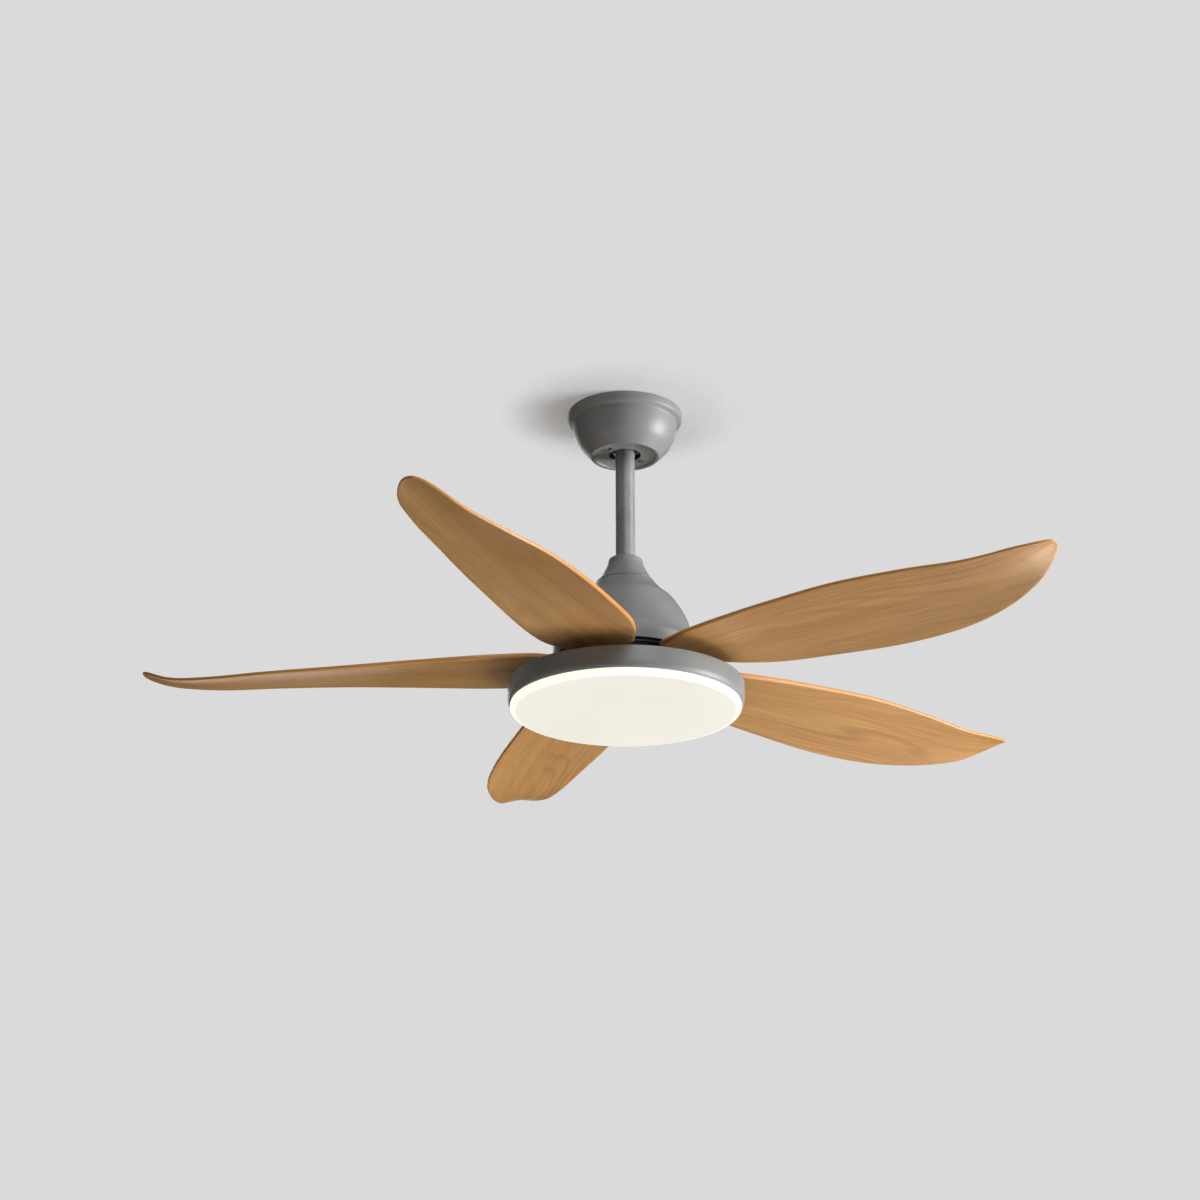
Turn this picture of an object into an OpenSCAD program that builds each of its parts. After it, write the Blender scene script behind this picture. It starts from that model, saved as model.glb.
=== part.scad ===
// Ceiling fan with a round LED light: hanger, downrod, outer-rotor motor, five swept blades and light kit.
// Millimetres. The origin is the centre of the hanger bracket's top face, on the ceiling, and +Z is up.

/* [Hanging] */
// Distance from the ceiling down to the lower edge of the light ring
drop = 432; // [400:1:900]
// Outer diameter of the downrod
rod_d = 27; // [22:0.5:32]
// Wall thickness of the downrod
rod_wall = 2; // [1.5:0.1:3]
// Radius of the hanger ball
ball_r = 25; // [21:0.5:30]
// Depth of the ball's centre below the ceiling
ball_drop = 36; // [36:0.5:50]
// Wall thickness of the ball's nylon seat liner
liner_wall = 2.4; // [2:0.1:4]
// Sheet thickness of the hanger bracket
bracket_wall = 2.5; // [2:0.1:4]
// Width of the bracket's strap
strap_w = 44; // [40:1:50]
// Distance between the two slots for the ceiling screws
slot_pitch = 89; // [86:0.5:104]
// Width of each ceiling screw slot
slot_w = 5.5; // [4.5:0.1:6.5]
// Length of each ceiling screw slot, end to end
slot_len = 14; // [10:0.5:16]

/* [Canopy] */
// Radius of the canopy's rim at the ceiling
canopy_r = 80.5; // [76:0.5:100]
// Height of the canopy's rim band
canopy_band = 13; // [8:0.5:16]
// Sheet thickness of the canopy
canopy_wall = 1.2; // [0.8:0.1:2]
// Space between the downrod and the hole in the canopy, for the swing
swing_gap = 8.5; // [7.5:0.5:12]

/* [Motor] */
// Outer diameter of the hollow motor shaft
shaft_d = 20; // [17:0.5:22]
// Bore of the motor shaft
shaft_bore = 12; // [8:0.5:12]
// Outer radius of the rotor shells
rotor_r = 82; // [76:1:84]
// Height of the rotor, shell to shell
rotor_h = 46; // [46:1:50]
// Thickness of the end plates of the rotor shells
shell_t = 5; // [4:0.5:6]
// Air gap between stator and magnets
air_gap = 1; // [0.8:0.1:2]
// Number of stator teeth
teeth = 12; // [9:1:15]
// Radius of the bell over the motor at its rim
bell_r = 99.5; // [96:0.5:110]
// Wall thickness of the bell and the neck cover
cover_wall = 1.5; // [1.2:0.1:2.5]

/* [Blades] */
// Radius of the circle that the blade tips draw
tip_r = 665; // [500:1:800]
// Thickness of a blade at its root
blade_t = 7; // [5:0.5:8]
// Thickness of a blade at its tip
tip_t = 3.5; // [3:0.5:6]
// Number of blades, one node each
blades = 5; // [5:1:5]
// Height of the blade flange's lower face above the light ring's lower edge
flange_up = 60; // [56:1:64]
// Radius of the blade flange
flange_r = 95; // [92:0.5:97]
// Thickness of the blade flange
flange_t = 3; // [2.5:0.5:4]
// Diameter of the blade screws
blade_screw_d = 5; // [4:0.5:6]

/* [Light] */
// Radius of the light ring
ring_r = 160; // [150:1:200]
// Height of the light ring
ring_h = 30; // [30:1:45]
// Sheet thickness of the light ring
ring_wall = 1.4; // [1:0.1:2]
// Depth of the diffuser's face below the light ring
face_drop = 8.7; // [6:0.1:14]
// Wall thickness of the diffuser
diffuser_wall = 2; // [1.5:0.1:3]
// Angle that one diffuser lug covers
lug_angle = 9; // [6:1:12]
// Number of diffuser lugs and clips
lugs = 4; // [3:1:6]

/* [Hidden] */

// Smoothness of round solids
$fn = 96;

// Clearances: a seat that is pressed or screwed home, a sliding fit, curved faces that move past each other
seat_gap = 0.02;
slide_gap = 0.05;
move_gap = 0.3;

// Finishes
paint_grey = [0.47, 0.47, 0.46];
rotor_black = [0.05, 0.05, 0.055];
wood_brown = [0.66, 0.47, 0.29];
zinc = [0.72, 0.73, 0.75];
steel = [0.6, 0.61, 0.63];
copper = [0.72, 0.4, 0.2];
brass = [0.8, 0.66, 0.32];
board_white = [0.93, 0.93, 0.9];
board_green = [0.08, 0.32, 0.18];
nylon = [0.88, 0.87, 0.82];
opal = [0.97, 0.96, 0.9];
dark_plastic = [0.12, 0.12, 0.12];
lead_colours = [[0.05, 0.05, 0.05], [0.85, 0.85, 0.82], [0.1, 0.2, 0.6], [0.12, 0.45, 0.15]];

// Hanger: ball, liner and cup are concentric spheres
ball_z = -ball_drop;
rod_r = rod_d / 2;
liner_in = ball_r + move_gap;
liner_out = liner_in + liner_wall;
cup_in = liner_out + move_gap;
cup_out = cup_in + bracket_wall;
// The cup's mouth is cut where its slope is 45 degrees
mouth = 45;
mouth_z = ball_z - cup_in * cos(mouth);
mouth_r = cup_in * sin(mouth);
cup_rim_z = ball_z - 3;
floor_z = mouth_z - bracket_wall;
leg_x = cup_out + 1;
floor_r = cup_out + 10;
strap_half = slot_pitch / 2 + slot_len / 2 + 5;
ball_top = 14;
ball_bottom = 20;
rod_top_z = ball_z + 12;
tab_w = 4;
tab_h = 7;
tab_slot = 8;
// Window in the strap for the mains cable, and the earth screw beside it
window = [26, 22];
earth_at = [-20, 15];
earth_d = 4;
pin_d = 6;
pin_up = 5;

// Canopy: its floor hangs a small gap under the bracket's floor
canopy_gap = 2;
recess = 2.5;
canopy_floor_z = floor_z - canopy_gap;
lip_z = canopy_floor_z - canopy_wall - recess;
lip_r = floor_r + 8;
hole_r = rod_r + swing_gap;
key_r = floor_r - 10.5;
key_angle = 36;
canopy_screw_d = 4;
key_head_r = 3.6;

// Receiver box on the bracket's tab
box_x = 66;
box_y = 22;
box_h = 20;
box_wall = 1.5;
box_y0 = -cup_out - 4;
box_top = -bracket_wall;
block_x = 34;
block_y = 14;
block_h = 13;
block_y0 = strap_w / 2 + 4;

// Head: heights above the light ring's lower edge
plate_t = 2.5;
plate_z = ring_h;
plate_r = flange_r - 3;
pad_t = 1;
motor_z = flange_up + flange_t;
motor_top = motor_z + rotor_h;
shaft_r = shaft_d / 2;
// Deep groove ball bearings on the shaft
ball_d = 7.94;
bearing_w = 14;
bearing_balls = 8;
pitch_r = shaft_r + 6.75;
inner_r = shaft_r + 4.4;
outer_in = shaft_r + 9.2;
outer_r = shaft_r + 13.5;
groove_r = ball_d / 2 + 0.03;
bearing_lip = 1;
lower_z = motor_z + bearing_lip;
upper_z = motor_top - bearing_lip - bearing_w;
boss_r = outer_r + 5.5;
rim_w = 6;
iron_w = 4.5;
magnet_w = 3.5;
magnets = 14;
magnet_r = rotor_r - rim_w - iron_w;
core_r = magnet_r - magnet_w - air_gap;
core_in = boss_r + 3;
core_h = rotor_h - 2 * shell_t - 14;
core_z = motor_z + rotor_h / 2 - core_h / 2;
hub_h = upper_z - lower_z - bearing_w - 2;
hub_z = lower_z + bearing_w + 1;
tooth_w = 8;
coil_w = 4;
coil_rise = 4;
shell_screws_n = 6;
shell_screw_r = rotor_r - rim_w / 2;
shell_screw_d = 3;
flange_screw_r = 45;
flange_screw_d = 4;

// Coupling, bell and neck
web_z = motor_top + 56;
web_t = 2;
coupling_r = rod_r + 5.5;
coupling_flange_r = coupling_r + 14;
coupling_step = web_z + 13;
coupling_top = coupling_step + 26;
coupling_foot = web_z - 19;
coupling_flange_t = 5;
seam_z = web_z + 12;
seam_r = 40;
neck_top = seam_z + 37;
spigot_r = seam_r - cover_wall - 0.2;
neck_r = rod_r + 10.5;
cover_screw_r = coupling_r + 8;
bell_foot = motor_z + 0.6;
rod_end_z = coupling_step + 0.5 - drop;
rod_in = rod_r - rod_wall;
pin_z = coupling_step + 14;
set_screw_z = [coupling_foot + 7, coupling_top - 6];
set_screw_d = 6;

// Bell outline, foot to seam: radius and height
bell_line = [
  [bell_r, bell_foot], [bell_r, bell_foot + 17], [bell_r - 5.5, bell_foot + 28],
  [bell_r - 11, bell_foot + 43], [bell_r - 16.5, bell_foot + 58], [bell_r - 24.5, bell_foot + 73],
  [bell_r - 35.5, seam_z - 25],
  [seam_r + 16, seam_z - 18], [seam_r + 8, seam_z - 10], [seam_r + 4, seam_z - 5], [seam_r, seam_z]
];
// Neck cover outline, seam to shoulder
neck_line = [
  [seam_r, seam_z], [seam_r - 4.5, seam_z + 5.5], [neck_r + 6, neck_top - 21.5],
  [neck_r + 1.4, neck_top - 11.5], [neck_r, neck_top - 5.5], [neck_r - 2, neck_top - 2]
];

// Blade: root rows fixed to the hub, then rows at a share of the span out to the tip.
// Each row: place along the span, middle of the chord, half chord, height of the chord's middle, rise of the
// trailing edge over the leading edge.
root_x = 60;
span_x = 100;
blade_z = flange_up - pad_t - blade_t / 2;
root_rows = [[root_x, 0, 24, 0, 0], [78, 0, 27, 0, 0], [90, 0.5, 41, 0, 0], [span_x, 2, 49, 0, 0]];
span_rows = [
  [0.035, 3, 57, -0.8, 0], [0.09, 5, 68, -3.5, 4], [0.18, 9.5, 77, -6, 12], [0.32, 13.5, 81, -8, 22],
  [0.5, 18, 82, -11, 32], [0.67, 20, 73.5, -14, 31.5], [0.81, 14, 56.5, -15, 23.5], [0.92, 4, 39, -8.5, 14.5],
  [0.998, -1.5, 29, 6, 0]
];
first_blade = -40;
camber = 3;
tip_round = 55;
screw_x = [70, 86, 86];
screw_y = [0, 14, -14];
blade_head_r = blade_screw_d;
blade_head_t = 2.8;

// Light: ring, plate, board and diffuser
lip_in = ring_r - 4.2;
lip_round = 10;
ring_hole = 40;
ring_screw_r = 78;
board_in = 88;
board_out = ring_r - 20;
board_t = 1.6;
chip_rings = [board_in + 10, (board_in + board_out) / 2, board_out - 10];
chips_per_ring = 16;
neck_out = lip_in - 2.8;
lug_out = lip_in - 0.4;
clip_z = lip_round + 0.4;
clip_t = 1.5;
lug_z = clip_z + clip_t + 0.2;
lug_t = 2;
bulge_r = lip_in + 0.4;
bulge_top = -1;
bulge_round = 7;
shaft_foot = 22;
nut_t = 5;
nut_z = plate_z - 1.5 - nut_t;
nut_r = shaft_r * 1.73;
driver = [44, 56, ring_h - ring_wall - 12];
driver_x = 26;
// Leads: radius, half spacing, bend over the rod's top, height between receiver and ball
lead_r = 0.9;
lead_off = 1.15;
lead_bend = 9;
lead_z = ball_z + 24;
// Depth in the rod at which the loose part of the leads ends
lead_join = ball_z - 28;
// Middle of the bundle where it passes beside the pins
lead_y = -6.5;
// Height and direction of the hole where the motor's leads leave the shaft
wire_z = hub_z + hub_h - 3.5;
wire_angle = 195;
wire_hole = 2.6;

// Point on a smooth curve between b and c at t from 0 to 1
function bend(a, b, c, d, t) =
  0.5 * (2 * b + (c - a) * t + (2 * a - 5 * b + 4 * c - d) * t * t + (3 * b - a - 3 * c + d) * t * t * t);

// Smooth curve through the points p, with n steps from each to the next
function smooth(p, n) = concat(
  [for (i = [0:len(p) - 2]) for (j = [0:n - 1])
    bend(p[max(i - 1, 0)], p[i], p[i + 1], p[min(i + 2, len(p) - 1)], j / n)],
  [p[len(p) - 1]]
);

// The points of p in the opposite order
function back(p) = [for (i = [len(p) - 1:-1:0]) p[i]];

// The points of p moved towards the axis
function inward(p, w) = [for (q = p) [q[0] - w, q[1]]];

// Arc of radii rx and rz round c, from angle a to angle b
function arc(c, rx, rz, a, b, n) = [
  for (i = [0:n])
    let (t = a + (b - a) * i / n)
    c + [rx * cos(t), rz * sin(t)]
];

// Ring round the axis between two radii, from z to z + h
module tube(r1, r2, z, h) {
  translate([0, 0, z]) difference() {
    cylinder(r = r2, h = h);
    translate([0, 0, -1]) cylinder(r = r1, h = h + 2);
  }
}

// Everything below the downrod is drawn from the light ring's lower edge
module head() {
  translate([0, 0, -drop]) children();
}

// Copies of a piece evenly round the axis, the first at angle start
module around(n, start = 0) {
  for (i = [0:n - 1]) rotate([0, 0, start + i * 360 / n]) children();
}

// Screw pointing up, with its head's underside at the origin
module screw(d, len, head_r, head_t) {
  cylinder(d = d, h = len);
  translate([0, 0, -head_t]) difference() {
    cylinder(r = head_r, h = head_t);
    for (a = [0, 90]) rotate([0, 0, a]) translate([-head_r * 0.6, -0.5, -1])
      cube([head_r * 1.2, 1, 1 + head_t * 0.45]);
  }
}

// Hanger bracket: a strap with two legs, and a floor pressed up into a cup round the ball
module hanger_bracket() {
  color(zinc) difference() {
    union() {
      translate([-strap_half, -strap_w / 2, -bracket_wall]) cube([2 * strap_half, strap_w, bracket_wall]);
      translate([-12, box_y0 - box_y + 2, -bracket_wall]) cube([24, -box_y0 + box_y - 2, bracket_wall]);
      translate([-8, 0, -bracket_wall]) cube([16, block_y0 + block_y, bracket_wall]);
      for (side = [0, 180]) rotate([0, 0, side]) {
        translate([leg_x, -strap_w / 2, floor_z]) cube([bracket_wall, strap_w, -floor_z]);
      }
      translate([0, 0, floor_z]) cylinder(r = floor_r, h = bracket_wall);
      intersection() {
        translate([0, 0, ball_z]) sphere(r = cup_out);
        translate([0, 0, floor_z]) cylinder(r = cup_out + 1, h = cup_rim_z - floor_z);
      }
    }
    translate([0, 0, ball_z]) sphere(r = cup_in);
    translate([0, 0, floor_z - 1]) cylinder(r = mouth_r, h = bracket_wall + 2);
    translate([-rod_r - 1, 0, floor_z - 1]) cube([2 * rod_r + 2, floor_r + 1, cup_rim_z - floor_z + 2]);
    for (x = [-slot_pitch / 2, slot_pitch / 2]) translate([x, 0, -bracket_wall - 1])
      ceiling_slot(bracket_wall + 2);
    for (a = [key_angle, key_angle + 180]) rotate([0, 0, a]) translate([key_r, 0, floor_z - 1])
      cylinder(d = canopy_screw_d + 2 * seat_gap, h = bracket_wall + 2);
    translate([-window[0] / 2, -window[1] / 2, -bracket_wall - 1])
      cube([window[0], window[1], bracket_wall + 2]);
    translate([earth_at[0], earth_at[1], -bracket_wall - 1])
      cylinder(d = earth_d + 2 * seat_gap, h = bracket_wall + 2);
  }
  color(zinc) translate([-tab_w / 2, -cup_in - 0.5, ball_z - 14]) cube([tab_w, 4.5, tab_h]);
}

// Slot with round ends for a ceiling screw
module ceiling_slot(h) {
  for (side = [-1, 1]) translate([side * (slot_len - slot_w) / 2, 0, 0]) cylinder(d = slot_w, h = h);
  translate([-(slot_len - slot_w) / 2, -slot_w / 2, 0]) cube([slot_len - slot_w, slot_w, h]);
}

// Canopy's rim band, from the ceiling down to the step
function canopy_band_line() = concat(
  [[canopy_r - 0.5, 0], [canopy_r, -1]],
  arc([canopy_r - 3.5, 2.5 - canopy_band], 2, 2.5, 0, -90, 5)
);

// Canopy's bowl, from the step down to the lip
function canopy_bowl_line() = smooth([
  [canopy_r - 7, 0.6 - canopy_band], [canopy_r - 7.6, -canopy_band - 2], [canopy_r - 9.5, -28],
  [canopy_r - 12.5, -38], [lip_r + 14, lip_z + 15.5], [lip_r + 6, lip_z + 6.5], [lip_r, lip_z + 0.8]
], 4);

// Canopy: pressed steel bowl with a recessed floor, a hole for the rod and two keyhole slots
module canopy() {
  cut_z = canopy_floor_z - canopy_wall - 1;
  color(paint_grey) difference() {
    rotate_extrude() polygon(concat(
      canopy_band_line(),
      canopy_bowl_line(),
      [[lip_r - 1, lip_z], [lip_r - 5, lip_z], [lip_r - 6.5, canopy_floor_z - canopy_wall],
       [hole_r, canopy_floor_z - canopy_wall], [hole_r, canopy_floor_z], [lip_r - 5, canopy_floor_z],
       [lip_r - 4, lip_z + canopy_wall], [lip_r - 2, lip_z + canopy_wall]],
      back(inward([for (q = canopy_bowl_line()) if (q[1] < -canopy_band - 1) q], canopy_wall)),
      [[canopy_r - 7 - canopy_wall, 0.6 + canopy_wall - canopy_band],
       [canopy_r - 2 - canopy_wall, 1.2 + canopy_wall - canopy_band], [canopy_r - 0.6 - canopy_wall, 0]]
    ));
    for (a = [key_angle, key_angle + 180]) rotate([0, 0, a]) translate([0, 0, cut_z]) {
      translate([key_r, 0, 0]) cylinder(d = canopy_screw_d + 1, h = canopy_wall + 2);
      rotate([0, 0, 15]) translate([key_r, 0, 0]) cylinder(r = key_head_r + 0.8, h = canopy_wall + 2);
      rotate([0, 0, 1]) translate([key_r - canopy_screw_d / 2 - 0.5, 0, 0])
        cube([canopy_screw_d + 1, 6, canopy_wall + 2]);
    }
  }
}

// Two screws that hold the canopy to the bracket's floor
module canopy_screws() {
  len = canopy_wall + canopy_gap + bracket_wall + 5;
  color(steel) for (a = [key_angle, key_angle + 180]) rotate([0, 0, a])
    translate([key_r, 0, canopy_floor_z - canopy_wall]) screw(canopy_screw_d, len, key_head_r, 2.2);
}

// Remote receiver: case open at the top, under the bracket's tab
module receiver_case() {
  color(dark_plastic) difference() {
    translate([-box_x / 2, box_y0 - box_y, box_top - box_h]) cube([box_x, box_y, box_h - box_wall]);
    translate([-box_x / 2 + box_wall, box_y0 - box_y + box_wall, box_top - box_h + box_wall])
      cube([box_x - 2 * box_wall, box_y - 2 * box_wall, box_h]);
    translate([0, box_y0 + 1, lead_z]) rotate([90, 0, 0]) cylinder(r = 3.2, h = box_wall + 2);
  }
}

// Lid of the receiver, pressed into the case
module receiver_lid() {
  edge = box_wall + slide_gap;
  color(dark_plastic) {
    translate([-box_x / 2, box_y0 - box_y, box_top - box_wall]) cube([box_x, box_y, box_wall]);
    difference() {
      translate([edge - box_x / 2, box_y0 - box_y + edge, box_top - box_wall - 2])
        cube([box_x - 2 * edge, box_y - 2 * edge, 2]);
      translate([-box_x / 2 + 2 * box_wall, box_y0 - box_y + 2 * box_wall, box_top - box_wall - 3])
        cube([box_x - 4 * box_wall, box_y - 4 * box_wall, 3]);
    }
  }
}

// Circuit board of the receiver with its relay, capacitor and chip
module receiver_board() {
  z = box_top - box_h + box_wall + 3;
  color(board_green) translate([-box_x / 2 + 3, box_y0 - box_y + 2.5, z]) cube([box_x - 6, box_y - 5, 1.6]);
  color(board_green) for (side = [-1, 1])
    translate([side * (box_x / 2 - 8), box_y0 - box_y / 2, z - 3]) cylinder(r = 2, h = 3);
  color(dark_plastic) translate([-24, box_y0 - box_y + 5, z + 1.6]) cube([14, 11, 7]);
  color([0.15, 0.2, 0.35]) translate([18, box_y0 - box_y / 2, z + 1.6]) cylinder(r = 4, h = 8);
  color(dark_plastic) translate([-4, box_y0 - box_y + 7, z + 1.6]) cube([10, 7, 1.5]);
}

// Wire aerial that leaves the receiver's end and lies along the case
module receiver_antenna() {
  color(lead_colours[0]) {
    translate([box_x / 2, box_y0 - box_y + 4, box_top - 8]) rotate([0, 90, 0]) cylinder(r = 0.7, h = 4);
    translate([box_x / 2 + 4, box_y0 - box_y + 4, box_top - 8]) sphere(r = 0.7);
    translate([box_x / 2 + 4, box_y0 - box_y + 4, box_top - 8]) rotate([-90, 0, 0]) cylinder(r = 0.7, h = 26);
  }
}

// Terminal block for the mains, on the bracket's other tab
module terminal_block() {
  color(nylon) difference() {
    translate([-block_x / 2, block_y0, -bracket_wall - block_h]) cube([block_x, block_y, block_h]);
    for (i = [-1:1]) translate([i * 10, 0, 0]) {
      translate([0, block_y0 - 1, -bracket_wall - 5]) rotate([-90, 0, 0]) cylinder(r = 2, h = block_y + 2);
      translate([0, block_y0 + block_y / 2, -bracket_wall - block_h - 1]) cylinder(r = 2.2, h = 6.6);
    }
  }
}

// Clamp screws in the terminal block
module terminal_screws() {
  color(brass) for (i = [-1:1]) translate([i * 10, block_y0 + block_y / 2, -bracket_wall - block_h + 1])
    screw(2.4, 4.4, 2.1, 0.8);
}

// Earth screw with its washer in the strap
module ground_screw() {
  color(board_green) translate([earth_at[0], earth_at[1], -bracket_wall])
    screw(earth_d, bracket_wall - 0.2, 3.8, 2.2);
}

// Nylon liner between cup and ball, slotted for the bracket's tab
module hanger_liner() {
  color(nylon) difference() {
    intersection() {
      translate([0, 0, ball_z]) sphere(r = liner_out);
      translate([0, 0, mouth_z + 1.5]) cylinder(r = liner_out + 1, h = cup_rim_z + 4 - mouth_z);
    }
    translate([0, 0, ball_z]) sphere(r = liner_in);
    translate([-tab_slot / 2, -liner_out - 2, mouth_z - 10]) cube([tab_slot, liner_out, 60]);
    translate([0, 0, mouth_z - 5]) cylinder(r = mouth_r, h = 12);
  }
}

// Hanger ball: bored for the rod, cross drilled for its pin and slotted for the tab
module hanger_ball() {
  color(dark_plastic) difference() {
    intersection() {
      translate([0, 0, ball_z]) sphere(r = ball_r);
      translate([0, 0, ball_z - ball_bottom]) cylinder(r = ball_r + 1, h = ball_bottom + ball_top);
    }
    translate([0, 0, ball_z - 30]) cylinder(r = rod_r + seat_gap, h = 60);
    translate([-30, 0, ball_z + pin_up]) rotate([0, 90, 0]) cylinder(d = pin_d + 2 * seat_gap, h = 60);
    translate([-tab_slot / 2, -ball_r - 3, ball_z - 18]) cube([tab_slot, 8, 18]);
    rotate([0, 0, 45]) translate([rod_r, 0, ball_z + 9]) rotate([0, 90, 0])
      cylinder(d = 5 + 2 * seat_gap, h = 20);
  }
}

// Pin through ball and rod
module hanger_pin() {
  len = 2 * sqrt(ball_r * ball_r - pin_up * pin_up) - 5;
  color(steel) translate([-len / 2, 0, ball_z + pin_up]) rotate([0, 90, 0]) cylinder(d = pin_d, h = len);
}

// Set screw that locks the ball on the rod
module ball_set_screw() {
  len = ball_r - rod_r - 4;
  color(steel) rotate([0, 0, 45]) translate([rod_r + seat_gap, 0, ball_z + 9]) rotate([0, 90, 0])
    difference() {
      cylinder(d = 5, h = len);
      translate([0, 0, len - 2]) cylinder(d = 2.5, h = 3, $fn = 6);
    }
}

// Downrod: steel tube with a cross hole at each end
module downrod() {
  color(paint_grey) difference() {
    tube(rod_in, rod_r, rod_end_z, rod_top_z - rod_end_z);
    translate([-30, 0, ball_z + pin_up]) rotate([0, 90, 0]) cylinder(d = pin_d + 2 * seat_gap, h = 60);
    translate([-30, 0, pin_z - drop]) rotate([0, 90, 0]) cylinder(d = pin_d + 2 * seat_gap, h = 60);
  }
}

// Place of each of the four leads in the bundle, whose middle stands at y
function lead_place(i, y) = [lead_off * (i < 2 ? 1 : -1), y + lead_off * (i % 2 == 0 ? 1 : -1)];

// Lead that runs straight from each point to the next
module lead(points) {
  for (i = [1:len(points) - 1]) {
    step = points[i] - points[i - 1];
    translate(points[i - 1]) rotate([0, acos(step[2] / norm(step)), atan2(step[1], step[0])])
      cylinder(r = lead_r, h = norm(step), $fn = 24);
  }
  for (i = [1:len(points) - 2]) translate(points[i]) sphere(r = lead_r, $fn = 24);
}

// Loose part of the leads, from the receiver over into the top of the rod, beside the hanger pin
module hanger_leads() {
  middle = lead_y - lead_bend;
  for (i = [0:3]) color(lead_colours[i]) translate([lead_place(i, 0)[0], 0, 0]) {
    r = lead_bend + lead_place(i, 0)[1];
    translate([0, box_y0 - box_wall, lead_z - lead_bend + r]) rotate([-90, 0, 0])
      cylinder(r = lead_r, h = middle - box_y0 + box_wall);
    translate([0, middle, lead_z - lead_bend]) rotate([0, -90, 0])
      rotate_extrude(angle = 90) translate([r, 0]) circle(r = lead_r, $fn = 24);
    translate([0, lead_place(i, lead_y)[1], lead_join])
      cylinder(r = lead_r, h = lead_z - lead_bend - lead_join);
  }
}

// Leads inside the rod and the shaft, beside the coupling pin: two end at the motor's coils, two at the light
module rod_leads() {
  for (i = [0:3]) color(lead_colours[i]) {
    side = lead_place(i, lead_y);
    shaft = lead_place(i, 0);
    start = [side[0], side[1], lead_join];
    bend_from = [side[0], side[1], pin_z - drop - 5];
    bend_to = [shaft[0], shaft[1], rod_end_z];
    if (i < 2) lead([start, bend_from, bend_to, [shaft[0], shaft[1], shaft_foot + 1 - drop]]);
    if (i > 1) lead([start, bend_from, bend_to, [shaft[0], shaft[1], wire_z - drop], coil_end(shaft[1])]);
  }
}

// Where a motor lead ends between two coils, at a distance y beside the middle of its hole
function coil_end(y) = [
  (core_in + 12) * cos(wire_angle) + y * sin(wire_angle),
  (core_in + 12) * sin(wire_angle) - y * cos(wire_angle),
  wire_z - drop
];

// Coupling: clamps the shaft below and takes the rod above, and carries the bell on its flange
module rod_coupling() {
  color(zinc) head() difference() {
    union() {
      translate([0, 0, coupling_foot]) cylinder(r = coupling_r, h = coupling_top - coupling_foot);
      translate([0, 0, web_z - coupling_flange_t]) cylinder(r = coupling_flange_r, h = coupling_flange_t);
    }
    translate([0, 0, coupling_step]) cylinder(r = rod_r + seat_gap, h = 60);
    translate([0, 0, coupling_foot - 1])
      cylinder(r = shaft_r + seat_gap, h = coupling_step - coupling_foot - 1);
    translate([0, 0, coupling_foot - 1]) cylinder(r = shaft_bore / 2, h = 60);
    translate([-40, 0, pin_z]) rotate([0, 90, 0]) cylinder(d = pin_d + 2 * seat_gap, h = 80);
    around(3, 30) translate([cover_screw_r, 0, web_z - coupling_flange_t - 1])
      cylinder(d = 4 + 2 * seat_gap, h = 20);
    for (z = set_screw_z) translate([0, 0, z]) rotate([0, 90, 90])
      cylinder(d = set_screw_d + 2 * seat_gap, h = 40);
  }
}

// Pin through coupling and rod
module coupling_pin() {
  color(steel) head() difference() {
    translate([-coupling_r - 2, 0, pin_z]) rotate([0, 90, 0]) union() {
      cylinder(d = pin_d, h = 2 * coupling_r + 7.5);
      cylinder(d = pin_d + 2.5, h = 1.8);
    }
    translate([coupling_r + 3, 0, pin_z - 10]) cylinder(d = 1.9, h = 20);
  }
}

// Split pin through the end of the coupling pin
module cotter_pin() {
  color(steel) head() translate([coupling_r + 3, 0, pin_z]) {
    translate([0, 0, -6]) cylinder(d = 1.7, h = 10);
    translate([0, 0, 6.3]) rotate([90, 0, 0]) rotate_extrude() translate([2, 0]) circle(d = 1.6, $fn = 24);
  }
}

// Set screws: the lower one on the shaft, the upper one on the rod
module coupling_set_screws() {
  held = [shaft_r, rod_r];
  color(steel) head() rotate([0, 0, 90]) for (i = [0, 1]) {
    len = coupling_r - held[i];
    translate([held[i] + 2 * seat_gap, 0, set_screw_z[i]]) rotate([0, 90, 0]) difference() {
      cylinder(d = set_screw_d, h = len);
      translate([0, 0, len - 2.5]) cylinder(d = 3, h = 4, $fn = 6);
    }
  }
}

// Neck cover: closes the top of the bell round the rod
module neck_cover() {
  line = smooth(neck_line, 5);
  color(paint_grey) head() rotate_extrude() polygon(concat(
    line,
    arc([neck_r - 7, neck_top - 2.6], 4.6, 2.2, 50, 90, 3),
    [[rod_r + move_gap, neck_top + 0.4], [rod_r + move_gap, neck_top - 1.4], [neck_r - 6, neck_top - 2.6],
     [neck_r - 3.4, neck_top - 4]],
    back(inward([for (q = line) if (q[1] < neck_top - 4 && q[1] > seam_z + 2) q], cover_wall)),
    [[spigot_r - 1.2, seam_z + 1], [spigot_r - 1.2, seam_z - 4], [spigot_r, seam_z - 4], [spigot_r, seam_z]]
  ));
}

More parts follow.
